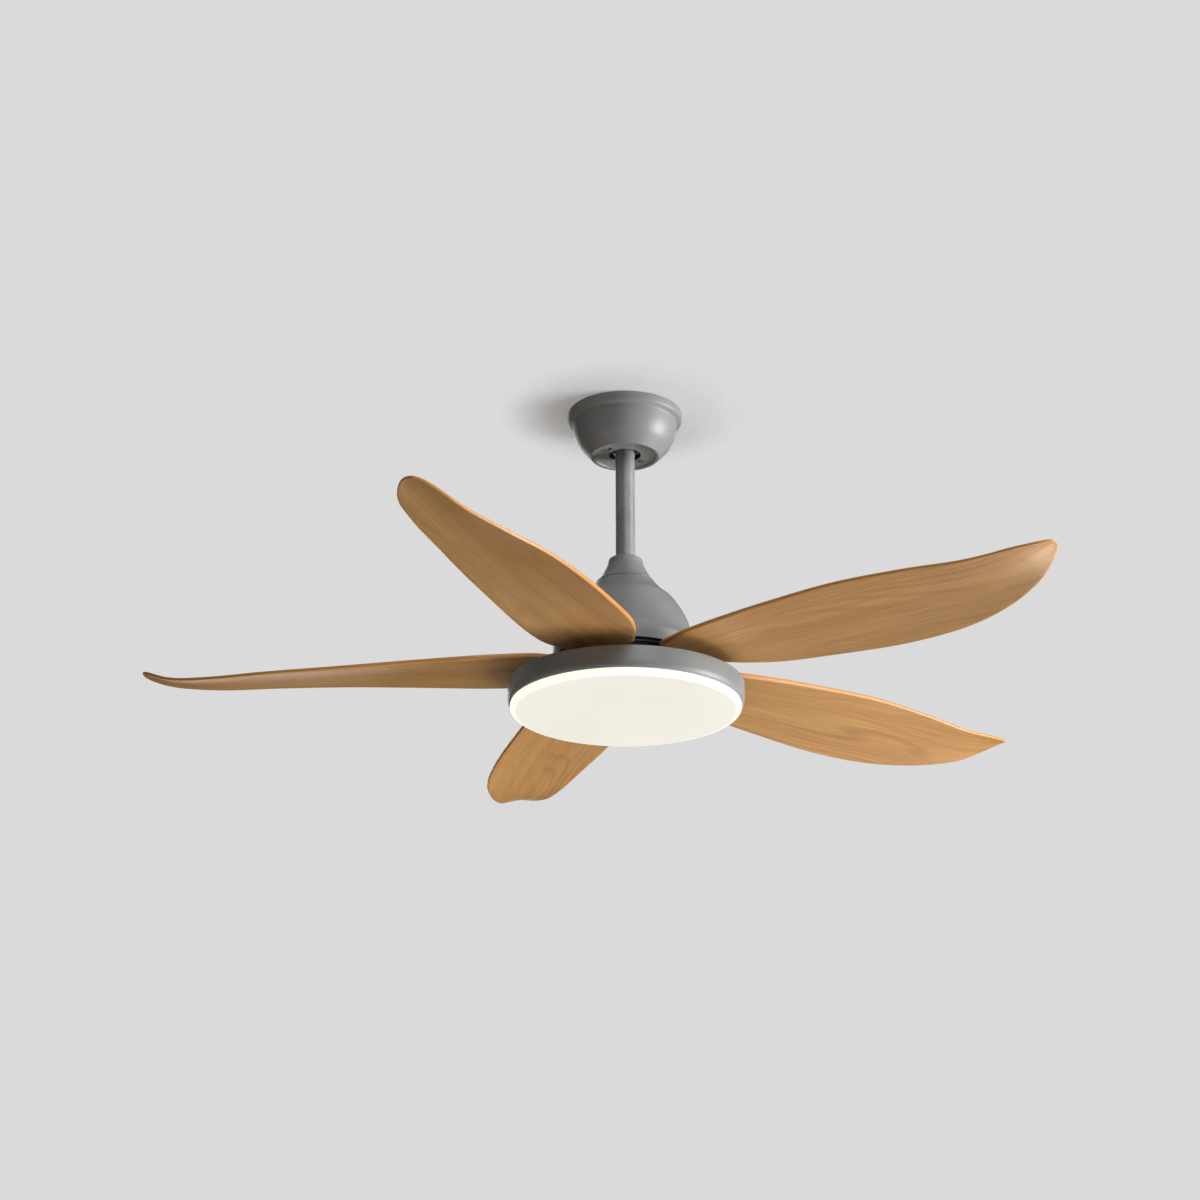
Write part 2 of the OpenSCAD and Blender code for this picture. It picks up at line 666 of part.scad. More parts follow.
// Bell over the motor, hung by its inner web on the coupling
module motor_cover() {
  line = smooth(bell_line, 4);
  web_edge = [for (q = line) if (q[1] > web_z + web_t && q[1] < seam_z) q];
  web_out = [for (q = line) if (q[1] < web_z) q];
  color(paint_grey) head() difference() {
    rotate_extrude() polygon(concat(
      line,
      [[seam_r - cover_wall, seam_z]],
      back(inward(web_edge, cover_wall)),
      [[coupling_flange_r + 2, web_z + web_t], [coupling_r + move_gap, web_z + web_t],
       [coupling_r + move_gap, web_z], [coupling_flange_r + 2, web_z]],
      back(inward(web_out, cover_wall))
    ));
    around(3, 30) translate([cover_screw_r, 0, web_z - 1]) cylinder(d = 4.4, h = web_t + 2);
  }
}

// Screws down through the bell's web into the coupling
module cover_screws() {
  color(steel) head() around(3, 30) translate([cover_screw_r, 0, web_z + web_t]) rotate([180, 0, 0])
    screw(4, web_t + coupling_flange_t + 2, 3.8, 2.4);
}

// Hollow shaft that carries motor and light, with a hole for the motor's leads
module motor_shaft() {
  color(steel) head() difference() {
    translate([0, 0, shaft_foot]) cylinder(r = shaft_r - seat_gap, h = coupling_step - 2 - shaft_foot);
    translate([0, 0, shaft_foot - 1]) cylinder(r = shaft_bore / 2, h = coupling_step);
    for (z = [lower_z - 1.4, upper_z + bearing_w]) tube(shaft_r - 0.8, shaft_r + 1, z, 1.4);
    translate([0, 0, wire_z]) rotate([0, 90, wire_angle]) cylinder(r = wire_hole, h = shaft_r + 2);
  }
}

// Stator: laminated core with teeth, pressed on the shaft
module stator_core() {
  shoe = 1.72 * core_r * tan(180 / teeth);
  color(steel) head() difference() {
    union() {
      tube(core_in, core_in + 9, core_z, core_h);
      around(teeth) {
        translate([core_in + 8, -tooth_w / 2, core_z]) cube([core_r - core_in - 10, tooth_w, core_h]);
        intersection() {
          tube(core_r - 3.5, core_r, core_z, core_h);
          translate([core_r - 6, -shoe / 2, core_z]) cube([8, shoe, core_h]);
        }
      }
      tube(shaft_r + seat_gap, core_in + 1, hub_z, hub_h);
    }
    translate([0, 0, wire_z]) rotate([0, 90, wire_angle]) cylinder(r = wire_hole, h = core_in + 20);
  }
}

// One coil of enamelled wire round each tooth
module stator_windings() {
  color(copper) head() around(teeth) translate([core_in + 10.5, 0, core_z - coil_rise]) difference() {
    translate([0, -tooth_w / 2 - coil_w, 0])
      cube([core_r - core_in - 15, tooth_w + 2 * coil_w, core_h + 2 * coil_rise]);
    translate([-1, -tooth_w / 2 - 0.2, coil_rise - 0.2]) cube([core_r, tooth_w + 0.4, core_h + 0.4]);
  }
}

// Inner race of a bearing, from z up
module inner_race(z) {
  color(steel) head() translate([0, 0, z]) rotate_extrude() difference() {
    translate([shaft_r, 0]) square([inner_r - shaft_r, bearing_w]);
    translate([pitch_r, bearing_w / 2]) circle(r = groove_r);
  }
}

// Outer race of a bearing, from z up
module outer_race(z) {
  color(steel) head() translate([0, 0, z]) rotate_extrude() difference() {
    translate([outer_in, 0]) square([outer_r - outer_in, bearing_w]);
    translate([pitch_r, bearing_w / 2]) circle(r = groove_r);
  }
}

// Balls of a bearing in their cage, from z up
module race_balls(z) {
  color(steel) head() translate([0, 0, z + bearing_w / 2]) {
    around(bearing_balls) translate([pitch_r, 0, 0]) sphere(d = ball_d);
    difference() {
      tube(pitch_r - 1.1, pitch_r + 1.1, -5, 10);
      around(bearing_balls) rotate([0, 90, 0]) cylinder(d = ball_d + 4 * slide_gap, h = pitch_r + 3);
    }
  }
}

module upper_bearing_inner() inner_race(upper_z);
module lower_bearing_inner() inner_race(lower_z);
module upper_bearing_outer() outer_race(upper_z);
module lower_bearing_outer() outer_race(lower_z);
module upper_bearing_balls() race_balls(upper_z);
module lower_bearing_balls() race_balls(lower_z);

// Snap rings that hold the bearings on the shaft
module retaining_rings() {
  color(steel) head() for (z = [lower_z - 1.3, upper_z + bearing_w + 0.05]) difference() {
    tube(shaft_r - 0.75, shaft_r + 2.2, z, 1.2);
    translate([0, -2.5, z - 1]) cube([shaft_r + 4, 5, 4]);
  }
}

// Spacer tube from the light's plate up to the lower bearing
module shaft_spacer() {
  foot = plate_z + plate_t;
  color(zinc) head() tube(shaft_r + slide_gap, shaft_r + 4, foot, lower_z - 1.6 - foot);
}

// Nut and washer that hold the light's plate on the shaft
module shaft_nut() {
  color(zinc) head() difference() {
    union() {
      translate([0, 0, nut_z]) cylinder(r = nut_r, h = nut_t, $fn = 6);
      translate([0, 0, nut_z + nut_t]) cylinder(r = nut_r + 3, h = 1.5);
    }
    translate([0, 0, nut_z - 1]) cylinder(r = shaft_r, h = nut_t + 4);
  }
}

// Black plate that carries the light ring
module light_mount_plate() {
  color(rotor_black) head() difference() {
    union() {
      translate([0, 0, plate_z]) cylinder(r = plate_r, h = plate_t);
      tube(plate_r - 8, plate_r - 5, plate_z + plate_t - 0.5, 4.5);
    }
    translate([0, 0, plate_z - 1]) cylinder(r = shaft_r + slide_gap, h = 10);
    around(4, 45) translate([ring_screw_r, 0, plate_z - 1]) cylinder(d = 4 + 2 * seat_gap, h = 10);
  }
}

// Light ring: steel pan with a rounded lip round the diffuser
module light_ring() {
  color(paint_grey) head() difference() {
    rotate_extrude() polygon(concat(
      [[ring_hole, ring_h], [ring_r - 2, ring_h]],
      arc([ring_r - 2, ring_h - 2], 2, 2, 90, 0, 4),
      arc([lip_in, lip_round], ring_r - lip_in, lip_round, 0, -90, 10),
      back(arc([lip_in, lip_round], ring_r - lip_in - ring_wall, lip_round - ring_wall, 0, -90, 10)),
      [[ring_r - ring_wall, ring_h - 2 - ring_wall], [ring_r - 2 - ring_wall, ring_h - ring_wall],
       [ring_hole, ring_h - ring_wall]]
    ));
    around(4, 45) translate([ring_screw_r, 0, ring_h - ring_wall - 1]) cylinder(d = 4.4, h = 4);
  }
}

// Screws up through the light ring into its plate
module ring_screws() {
  color(steel) head() around(4, 45) translate([ring_screw_r, 0, ring_h - ring_wall])
    screw(4, ring_wall + plate_t + 1.5, 4, 2.4);
}

// Spring clips inside the light ring that hold the diffuser's lugs
module diffuser_clips() {
  color(steel) head() around(lugs) rotate([0, 0, -lug_angle]) {
    rotate_extrude(angle = 2 * lug_angle) translate([neck_out + move_gap, clip_z])
      square([ring_r - ring_wall - seat_gap - neck_out - move_gap, clip_t]);
    rotate_extrude(angle = 2 * lug_angle) translate([ring_r - ring_wall - seat_gap - 1.2, clip_z + clip_t])
      square([1.2, 6]);
  }
}

// Round aluminium board of the lamp
module led_board() {
  color(board_white) head() tube(board_in, board_out, ring_h - ring_wall - board_t, board_t);
}

// White LED chips in rings on the board
module led_chips() {
  color([0.95, 0.85, 0.45]) head() for (i = [0:2]) around(chips_per_ring, i * 7.5)
    translate([chip_rings[i] - 1.5, -1.5, ring_h - ring_wall - board_t - 0.8]) cube([3, 3, 0.8]);
}

// LED driver: vented white box beside the nut
module led_driver() {
  color(board_white) head() difference() {
    translate([driver_x, -driver[1] / 2, ring_h - ring_wall - driver[2]]) cube(driver);
    for (i = [-3:3]) translate([driver_x + 8, i * 7 - 1.2, ring_h - ring_wall - driver[2] - 1])
      cube([driver[0] - 16, 2.4, 2.5]);
  }
}

// Leads from the shaft to the driver and from the driver to the board
module light_leads() {
  turn = 6;
  board_z = ring_h - ring_wall - board_t - 1.2;
  drive_end = driver_x + driver[0];
  color(lead_colours[1]) head() {
    for (i = [0, 1]) translate([lead_place(i, 0)[0] + turn, lead_place(i, 0)[1], shaft_foot + 1]) {
      rotate([90, 0, 0]) rotate([0, 0, 180]) rotate_extrude(angle = 90)
        translate([turn, 0]) circle(r = lead_r, $fn = 24);
      translate([0, 0, -turn]) rotate([0, 90, 0])
        cylinder(r = lead_r, h = driver_x - turn - lead_place(i, 0)[0]);
    }
    for (y = [-6, 6]) translate([drive_end, y, board_z]) rotate([0, 90, 0])
      cylinder(r = lead_r, h = board_in + 6 - drive_end);
  }
}

// Rotor shell: end plate with a bearing boss inside and a rim; drawn as the lower one, from z = 0 up
module shell(half) {
  difference() {
    rotate_extrude() polygon([
      [outer_in + 0.8, 0], [rotor_r - 4, 0], [rotor_r, 4], [rotor_r, half], [rotor_r - rim_w, half],
      [rotor_r - rim_w, shell_t], [boss_r, shell_t], [boss_r, bearing_lip + bearing_w - 1],
      [outer_r + seat_gap, bearing_lip + bearing_w - 1], [outer_r + seat_gap, bearing_lip],
      [outer_in + 0.8, bearing_lip]
    ]);
    around(shell_screws_n, 6) translate([shell_screw_r, 0, -1])
      cylinder(d = shell_screw_d + 2 * seat_gap, h = half + 2);
  }
}

// Upper rotor shell
module rotor_top_shell() {
  color(rotor_black) head() translate([0, 0, motor_top]) mirror([0, 0, 1]) shell(rotor_h / 2);
}

// Lower rotor shell, tapped for the flange's screws
module rotor_bottom_shell() {
  color(rotor_black) head() translate([0, 0, motor_z]) difference() {
    shell(rotor_h / 2);
    around(5, 36) translate([flange_screw_r, 0, -1]) cylinder(d = flange_screw_d + 2 * seat_gap, h = shell_t);
  }
}

// Steel ring behind the magnets
module rotor_back_iron() {
  color(steel) head() tube(magnet_r, rotor_r - rim_w - seat_gap, core_z - 2, core_h + 4);
}

// Arc magnets bonded inside the ring
module rotor_magnets() {
  color([0.25, 0.25, 0.27]) head() around(magnets) rotate_extrude(angle = 360 / magnets - 3)
    translate([magnet_r - magnet_w, core_z - 1]) square([magnet_w - seat_gap, core_h + 2]);
}

// Screws that hold the two shells together, from below
module shell_screws() {
  color(steel) head() around(shell_screws_n, 6) translate([shell_screw_r, 0, motor_z + 0.4])
    cylinder(d = shell_screw_d, h = rotor_h - 1.5);
}

// Blade flange: black disc under the rotor
module blade_flange() {
  color(rotor_black) head() difference() {
    tube(boss_r + 2, flange_r, flange_up, flange_t);
    around(5, 36) translate([flange_screw_r, 0, flange_up - 1])
      cylinder(d = flange_screw_d + 0.4, h = flange_t + 2);
    around(blades, first_blade) blade_screw_holes(flange_up - 1, blade_screw_d + 2 * seat_gap, flange_t + 2);
  }
}

// Screws that hold the flange to the rotor, between the blades
module flange_screws() {
  color(steel) head() around(5, 36) translate([flange_screw_r, 0, flange_up])
    screw(flange_screw_d, flange_t + shell_t - 1.2, 3.8, 2.2);
}

// Three holes for the screws of one blade
module blade_screw_holes(z, d, h) {
  for (i = [0:2]) translate([screw_x[i], screw_y[i], z]) cylinder(d = d, h = h);
}

// One row of the blade as numbers: place, middle, half chord, height and rise, with the tip rounded off
function blade_row(row) =
  let (t = max(0, (row[0] - tip_r + tip_round) / tip_round))
  [row[0], row[1], row[2] * sqrt(1 - t * t), row[3], row[4] * sqrt(1 - t * t)];

// Section of the blade at a row: rounded edges and a slightly arched middle
function blade_ring(row) =
  let (
    share = max(0, (row[0] - span_x) / (tip_r - span_x)),
    slope = atan2(row[4] / 2, row[2]),
    reach = row[2] / cos(slope),
    edge = min((blade_t + (tip_t - blade_t) * share) / 2, reach * 0.9),
    flat = reach - edge,
    arch = camber * min(1, 4 * share) * min(1, reach / 40),
    lead = [for (a = [90, 45, 0, -45, -90]) [flat + edge * cos(a), edge * sin(a)]],
    under = [for (s = [0.5, 0, -0.5]) [flat * s, -edge + arch * (1 - s * s)]],
    trail = [for (a = [-90, -135, 180, 135, 90]) [-flat + edge * cos(a), edge * sin(a)]],
    over = [for (s = [-0.5, 0, 0.5]) [flat * s, edge + arch * (1 - s * s)]]
  )
  [for (q = concat(lead, under, trail, over))
    [row[0], row[1] + q[0] * cos(slope) + q[1] * sin(slope), row[3] - q[0] * sin(slope) + q[1] * cos(slope)]];

out_rows = [for (r = span_rows) [span_x + r[0] * (tip_r - span_x), r[1], r[2], r[3], r[4]]];
blade_rows = [for (r = smooth(concat(root_rows, out_rows), 3)) blade_row(r)];
blade_rings = [for (r = blade_rows) blade_ring(r)];
ring_points = len(blade_rings[0]);

// Blade k: swept, twisted and rising to its rounded tip
module blade(k) {
  n = ring_points;
  last = (len(blade_rings) - 1) * n;
  // The end caps fan out from the middle of the leading edge
  hub = 2;
  color(wood_brown) head() rotate([0, 0, first_blade + (k - 1) * 360 / blades]) difference() {
    translate([0, 0, blade_z]) polyhedron(
      points = [for (ring = blade_rings) for (q = ring) q],
      faces = concat(
        [for (k = [0:n:last - n]) for (j = [0:n - 1]) [k + j, k + (j + 1) % n, k + n + j]],
        [for (k = [0:n:last - n]) for (j = [0:n - 1]) [k + (j + 1) % n, k + n + (j + 1) % n, k + n + j]],
        [for (j = [1:n - 2]) [hub, (hub + j + 1) % n, (hub + j) % n]],
        [for (j = [1:n - 2]) [last + hub, last + (hub + j) % n, last + (hub + j + 1) % n]]
      )
    );
    blade_screw_holes(blade_z - 20, blade_screw_d + 0.4, 40);
  }
}

module blade_1() blade(1);
module blade_2() blade(2);
module blade_3() blade(3);
module blade_4() blade(4);
module blade_5() blade(5);

// Rubber pads between the blades and the flange
module blade_pads() {
  color(dark_plastic) head() around(blades, first_blade) difference() {
    translate([root_x + 1, -21, flange_up - pad_t]) cube([flange_r - root_x - 6, 42, pad_t]);
    blade_screw_holes(flange_up - pad_t - 1, blade_screw_d + 0.4, pad_t + 2);
  }
}

// Screws that hold the blades to the flange, from below
module blade_screws() {
  color(steel) head() around(blades, first_blade) for (i = [0:2])
    translate([screw_x[i], screw_y[i], blade_z - blade_t / 2])
      screw(blade_screw_d, blade_t + pad_t + flange_t - 0.3, blade_head_r, blade_head_t);
}

// Opal diffuser: shallow dish with a rounded edge, a neck inside the lip and lugs round its top
module diffuser() {
  rim_z = lug_z + lug_t + 0.8;
  middle = bulge_r / 2;
  lug_in = neck_out - diffuser_wall / 2;
  color(opal) head() {
    translate([0, 0, -face_drop]) cylinder(r = middle + 1, h = diffuser_wall);
    rotate_extrude() polygon(concat(
      [[middle, -face_drop]],
      arc([bulge_r - bulge_round, bulge_round - face_drop], bulge_round, bulge_round, -90, 0, 8),
      [[bulge_r, bulge_top], [neck_out, bulge_top], [neck_out, rim_z], [neck_out - diffuser_wall, rim_z]],
      arc([neck_out - diffuser_wall - 4, 4 + diffuser_wall - face_drop], 4, 4, 0, -90, 5),
      [[middle, diffuser_wall - face_drop]]
    ));
    around(lugs) rotate([0, 0, -lug_angle / 2]) rotate_extrude(angle = lug_angle)
      translate([lug_in, lug_z]) square([lug_out - lug_in, lug_t]);
  }
}

hanger_bracket();
canopy();
canopy_screws();
receiver_case();
receiver_lid();
receiver_board();
receiver_antenna();
terminal_block();
terminal_screws();
ground_screw();
hanger_liner();
hanger_ball();
hanger_pin();
ball_set_screw();
downrod();
hanger_leads();
rod_leads();
rod_coupling();
coupling_pin();
cotter_pin();
coupling_set_screws();
neck_cover();
motor_cover();
cover_screws();
motor_shaft();
stator_core();
stator_windings();
upper_bearing_inner();
lower_bearing_inner();
retaining_rings();
shaft_spacer();
shaft_nut();
light_mount_plate();
light_ring();
ring_screws();
diffuser_clips();
led_board();
led_chips();
led_driver();
light_leads();
rotor_top_shell();
rotor_bottom_shell();
rotor_back_iron();
rotor_magnets();
shell_screws();
upper_bearing_outer();
lower_bearing_outer();
blade_flange();
flange_screws();
blade_1();
blade_2();
blade_3();
blade_4();
blade_5();
blade_pads();
blade_screws();
upper_bearing_balls();
lower_bearing_balls();
diffuser();
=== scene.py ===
"""Looks for a ceiling fan with light: painted metal, wood-grain blades, an opal lamp and its inner works."""

import logging
import math
from dataclasses import dataclass, field
from enum import Enum
from functools import cache
from typing import Any, Iterable, Sequence

import bmesh
import bpy
from mathutils import Matrix, Vector


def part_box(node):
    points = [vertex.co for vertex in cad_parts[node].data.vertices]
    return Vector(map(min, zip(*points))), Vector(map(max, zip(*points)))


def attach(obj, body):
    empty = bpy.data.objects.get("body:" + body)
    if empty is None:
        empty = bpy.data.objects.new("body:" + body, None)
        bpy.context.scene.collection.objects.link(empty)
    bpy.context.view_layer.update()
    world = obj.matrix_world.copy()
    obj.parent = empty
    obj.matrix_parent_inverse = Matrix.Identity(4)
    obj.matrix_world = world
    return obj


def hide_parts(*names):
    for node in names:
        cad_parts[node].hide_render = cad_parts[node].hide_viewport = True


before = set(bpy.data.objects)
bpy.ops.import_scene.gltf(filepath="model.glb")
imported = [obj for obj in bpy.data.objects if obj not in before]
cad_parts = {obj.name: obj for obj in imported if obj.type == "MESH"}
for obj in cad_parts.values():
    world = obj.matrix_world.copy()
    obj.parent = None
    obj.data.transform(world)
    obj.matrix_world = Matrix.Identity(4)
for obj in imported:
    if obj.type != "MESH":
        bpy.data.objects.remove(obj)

LOG = logging.getLogger("ceiling_fan")
MM = 0.001
TURN_STEPS = 192
WIDE_TURN_STEPS = 288

Colour = tuple[float, float, float]
Point = tuple[float, float]
Row = tuple[float, float, float, float, float]


class Body(str, Enum):
    """The moving bodies that pieces ride on."""

    CEILING = "ceiling_mount"
    FAN = "fan_body"
    ROTOR = "rotor"
    COVER = "light_cover"


class Slot(str, Enum):
    """The record's material slots, passed along with new pieces."""

    PAINT = "grey_paint"
    WOOD = "blade_wood"
    OPAL = "opal_diffuser"


def srgb(red: int, green: int, blue: int) -> Colour:
    """Turns a display colour of 0 to 255 into a linear one.

    Args:
        red: Red, 0 to 255.
        green: Green, 0 to 255.
        blue: Blue, 0 to 255.

    Returns:
        The linear colour.
    """
    def linear(value: int) -> float:
        """Returns one channel in linear light."""
        share = value / 255
        return share / 12.92 if share <= 0.04045 else ((share + 0.055) / 1.055) ** 2.4

    return linear(red), linear(green), linear(blue)


# --- node graphs -----------------------------------------------------------------------------------------


class Graph:
    """Adds nodes to one node tree and links them."""

    def __init__(self, tree: bpy.types.NodeTree) -> None:
        """Keeps the tree that the nodes go into."""
        self.tree = tree

    def add(self, kind: str, inputs: dict[Any, Any] | None = None, **settings: Any) -> bpy.types.Node:
        """Adds a node.

        Args:
            kind: The node's type name.
            inputs: Socket name or number to a value, or to another node's output.
            **settings: Attributes set on the node before its inputs.

        Returns:
            The new node.
        """
        node = self.tree.nodes.new(kind)
        for name, value in settings.items():
            setattr(node, name, value)
        for key, value in (inputs or {}).items():
            self.feed(node.inputs[key], value)
        return node

    def feed(self, socket: bpy.types.NodeSocket, value: Any) -> None:
        """Links an output to a socket, or sets the socket's own value."""
        if isinstance(value, bpy.types.NodeSocket):
            self.tree.links.new(value, socket)
        elif socket.type == "RGBA" and len(value) == 3:
            socket.default_value = (*value, 1.0)
        else:
            socket.default_value = value

    def math(self, operation: str, *values: Any, clamp: bool = False) -> bpy.types.NodeSocket:
        """Returns the output of a Math node."""
        node = self.add("ShaderNodeMath", dict(enumerate(values)), operation=operation)
        node.use_clamp = clamp
        return node.outputs[0]

    def mix(self, share: Any, first: Any, second: Any, blend: str = "MIX") -> bpy.types.NodeSocket:
        """Returns a mix of two colours by share."""
        node = self.add("ShaderNodeMix", data_type="RGBA", blend_type=blend)
        self.feed(node.inputs[0], share)
        self.feed(node.inputs[6], first)
        self.feed(node.inputs[7], second)
        return node.outputs[2]

    def span(
        self, value: Any, low: float, high: float, out_low: float = 0.0, out_high: float = 1.0
    ) -> bpy.types.NodeSocket:
        """Returns value mapped from one range to another, smoothly and held at the ends."""
        node = self.add(
            "ShaderNodeMapRange",
            {0: value, 1: low, 2: high, 3: out_low, 4: out_high},
            interpolation_type="SMOOTHSTEP",
        )
        return node.outputs[0]

    def noise(
        self, vector: Any, scale: float, detail: float = 3.0, distortion: float = 0.0
    ) -> bpy.types.NodeSocket:
        """Returns a noise value at a vector."""
        values = {"Vector": vector, "Scale": scale, "Detail": detail, "Distortion": distortion}
        node = self.add("ShaderNodeTexNoise", values)
        return node.outputs["Fac"]

    def stretch(self, vector: Any, scale: Sequence[float]) -> bpy.types.NodeSocket:
        """Returns a vector scaled along each axis."""
        return self.add("ShaderNodeVectorMath", {0: vector, 1: scale}, operation="MULTIPLY").outputs[0]


@dataclass(frozen=True)
class Socket:
    """A named socket of a node group."""

    name: str
    kind: str = "NodeSocketFloat"
    value: Any = 0.5


def new_group(
    name: str, inputs: Iterable[Socket], outputs: Iterable[Socket]
) -> tuple[Graph, bpy.types.Node, bpy.types.Node]:
    """Makes an empty shader node group with its sockets.

    Args:
        name: The group's name.
        inputs: Its input sockets, with default values.
        outputs: Its output sockets.

    Returns:
        The group's graph, its input node and its output node.
    """
    tree = bpy.data.node_groups.new(name, "ShaderNodeTree")
    for socket in inputs:
        made = tree.interface.new_socket(socket.name, in_out="INPUT", socket_type=socket.kind)
        made.default_value = socket.value
    for socket in outputs:
        tree.interface.new_socket(socket.name, in_out="OUTPUT", socket_type=socket.kind)
    graph = Graph(tree)
    return graph, graph.add("NodeGroupInput"), graph.add("NodeGroupOutput")


@cache
def mottle_group() -> bpy.types.NodeTree:
    """Builds the uneven tone and fine texture of coated and moulded surfaces.

    Returns:
        A group whose Value runs from 0 to 1 in soft clouds and whose Height is a fine texture.
    """
    graph, ins, outs = new_group(
        "surface mottle",
        [Socket("Cloud Scale", value=9.0), Socket("Texture Scale", value=900.0)],
        [Socket("Value"), Socket("Height")],
    )
    place = graph.add("ShaderNodeTexCoord").outputs["Object"]
    cloud = graph.add(
        "ShaderNodeTexNoise", {"Vector": place, "Scale": ins.outputs[0], "Detail": 4.0}
    ).outputs["Fac"]
    fine = graph.add(
        "ShaderNodeTexNoise", {"Vector": place, "Scale": ins.outputs[1], "Detail": 2.0}
    ).outputs["Fac"]
    graph.feed(outs.inputs[0], graph.span(cloud, 0.3, 0.7))
    graph.feed(outs.inputs[1], fine)
    return graph.tree


@cache
def wear_group() -> bpy.types.NodeTree:
    """Builds the mask of rubbed edges.

    Returns:
        A group whose Mask is high on convex edges, broken up by noise.
    """
    graph, ins, outs = new_group(
        "edge wear", [Socket("Reach", value=0.56), Socket("Breakup", value=60.0)], [Socket("Mask")]
    )
    place = graph.add("ShaderNodeTexCoord").outputs["Object"]
    pointed = graph.add("ShaderNodeNewGeometry").outputs["Pointiness"]
    broken = graph.add(
        "ShaderNodeTexNoise", {"Vector": place, "Scale": ins.outputs[1], "Detail": 5.0}
    ).outputs["Fac"]
    edge = graph.math("MULTIPLY", graph.math("SUBTRACT", pointed, ins.outputs[0]), 9.0, clamp=True)
    graph.feed(outs.inputs[0], graph.math("MULTIPLY", edge, graph.span(broken, 0.4, 0.65), clamp=True))
    return graph.tree


@cache
def dust_group() -> bpy.types.NodeTree:
    """Builds the thin film of dust on faces that look up.

    Returns:
        A group whose Mask is high on upward faces, in soft patches.
    """
    graph, ins, outs = new_group(
        "dust film", [Socket("Amount", value=0.3), Socket("Patch Scale", value=14.0)], [Socket("Mask")]
    )
    place = graph.add("ShaderNodeTexCoord").outputs["Object"]
    normal = graph.add("ShaderNodeNewGeometry").outputs["Normal"]
    upward = graph.add("ShaderNodeSeparateXYZ", {0: normal}).outputs[2]
    patch = graph.add(
        "ShaderNodeTexNoise", {"Vector": place, "Scale": ins.outputs[1], "Detail": 6.0}
    ).outputs["Fac"]
    film = graph.math("MULTIPLY", graph.span(upward, 0.35, 0.95), graph.span(patch, 0.3, 0.75))
    graph.feed(outs.inputs[0], graph.math("MULTIPLY", film, ins.outputs[0], clamp=True))
    return graph.tree


@cache
def streak_group() -> bpy.types.NodeTree:
    """Builds the fine turned or brushed lines of bare metal.

    Returns:
        A group whose Height and Value follow lines across the stretched direction.
    """
    graph, ins, outs = new_group(
        "metal streaks",
        [Socket("Stretch", "NodeSocketVector", (40.0, 40.0, 900.0))],
        [Socket("Value"), Socket("Height")],
    )
    place = graph.add("ShaderNodeTexCoord").outputs["Object"]
    lines = graph.noise(graph.stretch(place, ins.outputs[0]), 1.0, 4.0)
    graph.feed(outs.inputs[0], graph.span(lines, 0.3, 0.7))
    graph.feed(outs.inputs[1], lines)
    return graph.tree


@cache
def grain_group() -> bpy.types.NodeTree:
    """Builds wood grain that runs along one direction of the XY plane.

    Returns:
        A group with the grain's Figure, Fibre and Pore masks, a broad Tone and a Height.
    """
    graph, ins, outs = new_group(
        "wood grain",
        [
            Socket("Shift", "NodeSocketVector", (0.0, 0.0, 0.0)), Socket("Turn", value=0.0),
            Socket("Line Count", value=62.0),
        ],
        [Socket("Figure"), Socket("Fibre"), Socket("Pore"), Socket("Tone"), Socket("Height")],
    )
    local = graph.add("ShaderNodeTexCoord").outputs["Object"]
    back = graph.math("MULTIPLY", ins.outputs["Turn"], -1.0)
    along = graph.add(
        "ShaderNodeVectorRotate", {"Vector": local, "Angle": back}, rotation_type="Z_AXIS"
    ).outputs[0]
    flat = graph.stretch(along, (1.0, 1.0, 0.0))
    place = graph.add(
        "ShaderNodeVectorMath", {0: flat, 1: ins.outputs["Shift"]}, operation="ADD"
    ).outputs[0]
    parts = graph.add("ShaderNodeSeparateXYZ", {0: place})
    # Growth lines follow a slowly swaying level, so that they close into long arches here and there
    sway = graph.noise(graph.stretch(place, (1.7, 8.0, 1.0)), 1.0, 1.0)
    ripple = graph.noise(graph.stretch(place, (7.0, 60.0, 1.0)), 1.0, 3.0)
    level = graph.math("MULTIPLY_ADD", graph.math("SUBTRACT", sway, 0.5), 0.22, parts.outputs[1])
    level = graph.math("MULTIPLY_ADD", graph.math("SUBTRACT", ripple, 0.5), 0.006, level)
    phase = graph.math("MULTIPLY", level, graph.math("MULTIPLY", ins.outputs["Line Count"], math.tau))
    wave = graph.math("MULTIPLY_ADD", graph.math("SINE", phase), 0.5, 0.5)
    patch = graph.span(graph.noise(graph.stretch(place, (3.5, 16.0, 1.0)), 1.0, 2.0), 0.42, 0.68)
    sharpened = graph.math("POWER", wave, 4.0)
    figure = graph.math("MULTIPLY", sharpened, graph.math("MULTIPLY_ADD", patch, 0.85, 0.15))
    fibre = graph.noise(graph.stretch(place, (7.0, 420.0, 1.0)), 1.0, 6.0)
    pore = graph.span(graph.noise(graph.stretch(place, (24.0, 1300.0, 1.0)), 1.0, 2.0), 0.60, 0.70)
    tone = graph.span(graph.noise(graph.stretch(place, (2.2, 34.0, 1.0)), 1.0, 3.0), 0.3, 0.7)
    height = graph.math("SUBTRACT", graph.math("MULTIPLY", fibre, 0.6), graph.math("MULTIPLY", pore, 0.5))
    for number, value in enumerate((figure, graph.span(fibre, 0.32, 0.7), pore, tone, height)):
        graph.feed(outs.inputs[number], value)
    return graph.tree


# --- finishes --------------------------------------------------------------------------------------------


def new_material(name: str) -> tuple[bpy.types.Material, Graph, bpy.types.Node]:
    """Makes a material with an empty Principled shader.

    Args:
        name: The material's name.

    Returns:
        The material, its graph and its shader node.
    """
    material = bpy.data.materials.new(name)
    material.use_nodes = True
    material.node_tree.nodes.clear()
    graph = Graph(material.node_tree)
    shader = graph.add("ShaderNodeBsdfPrincipled")
    graph.add("ShaderNodeOutputMaterial", {"Surface": shader.outputs[0]})
    return material, graph, shader


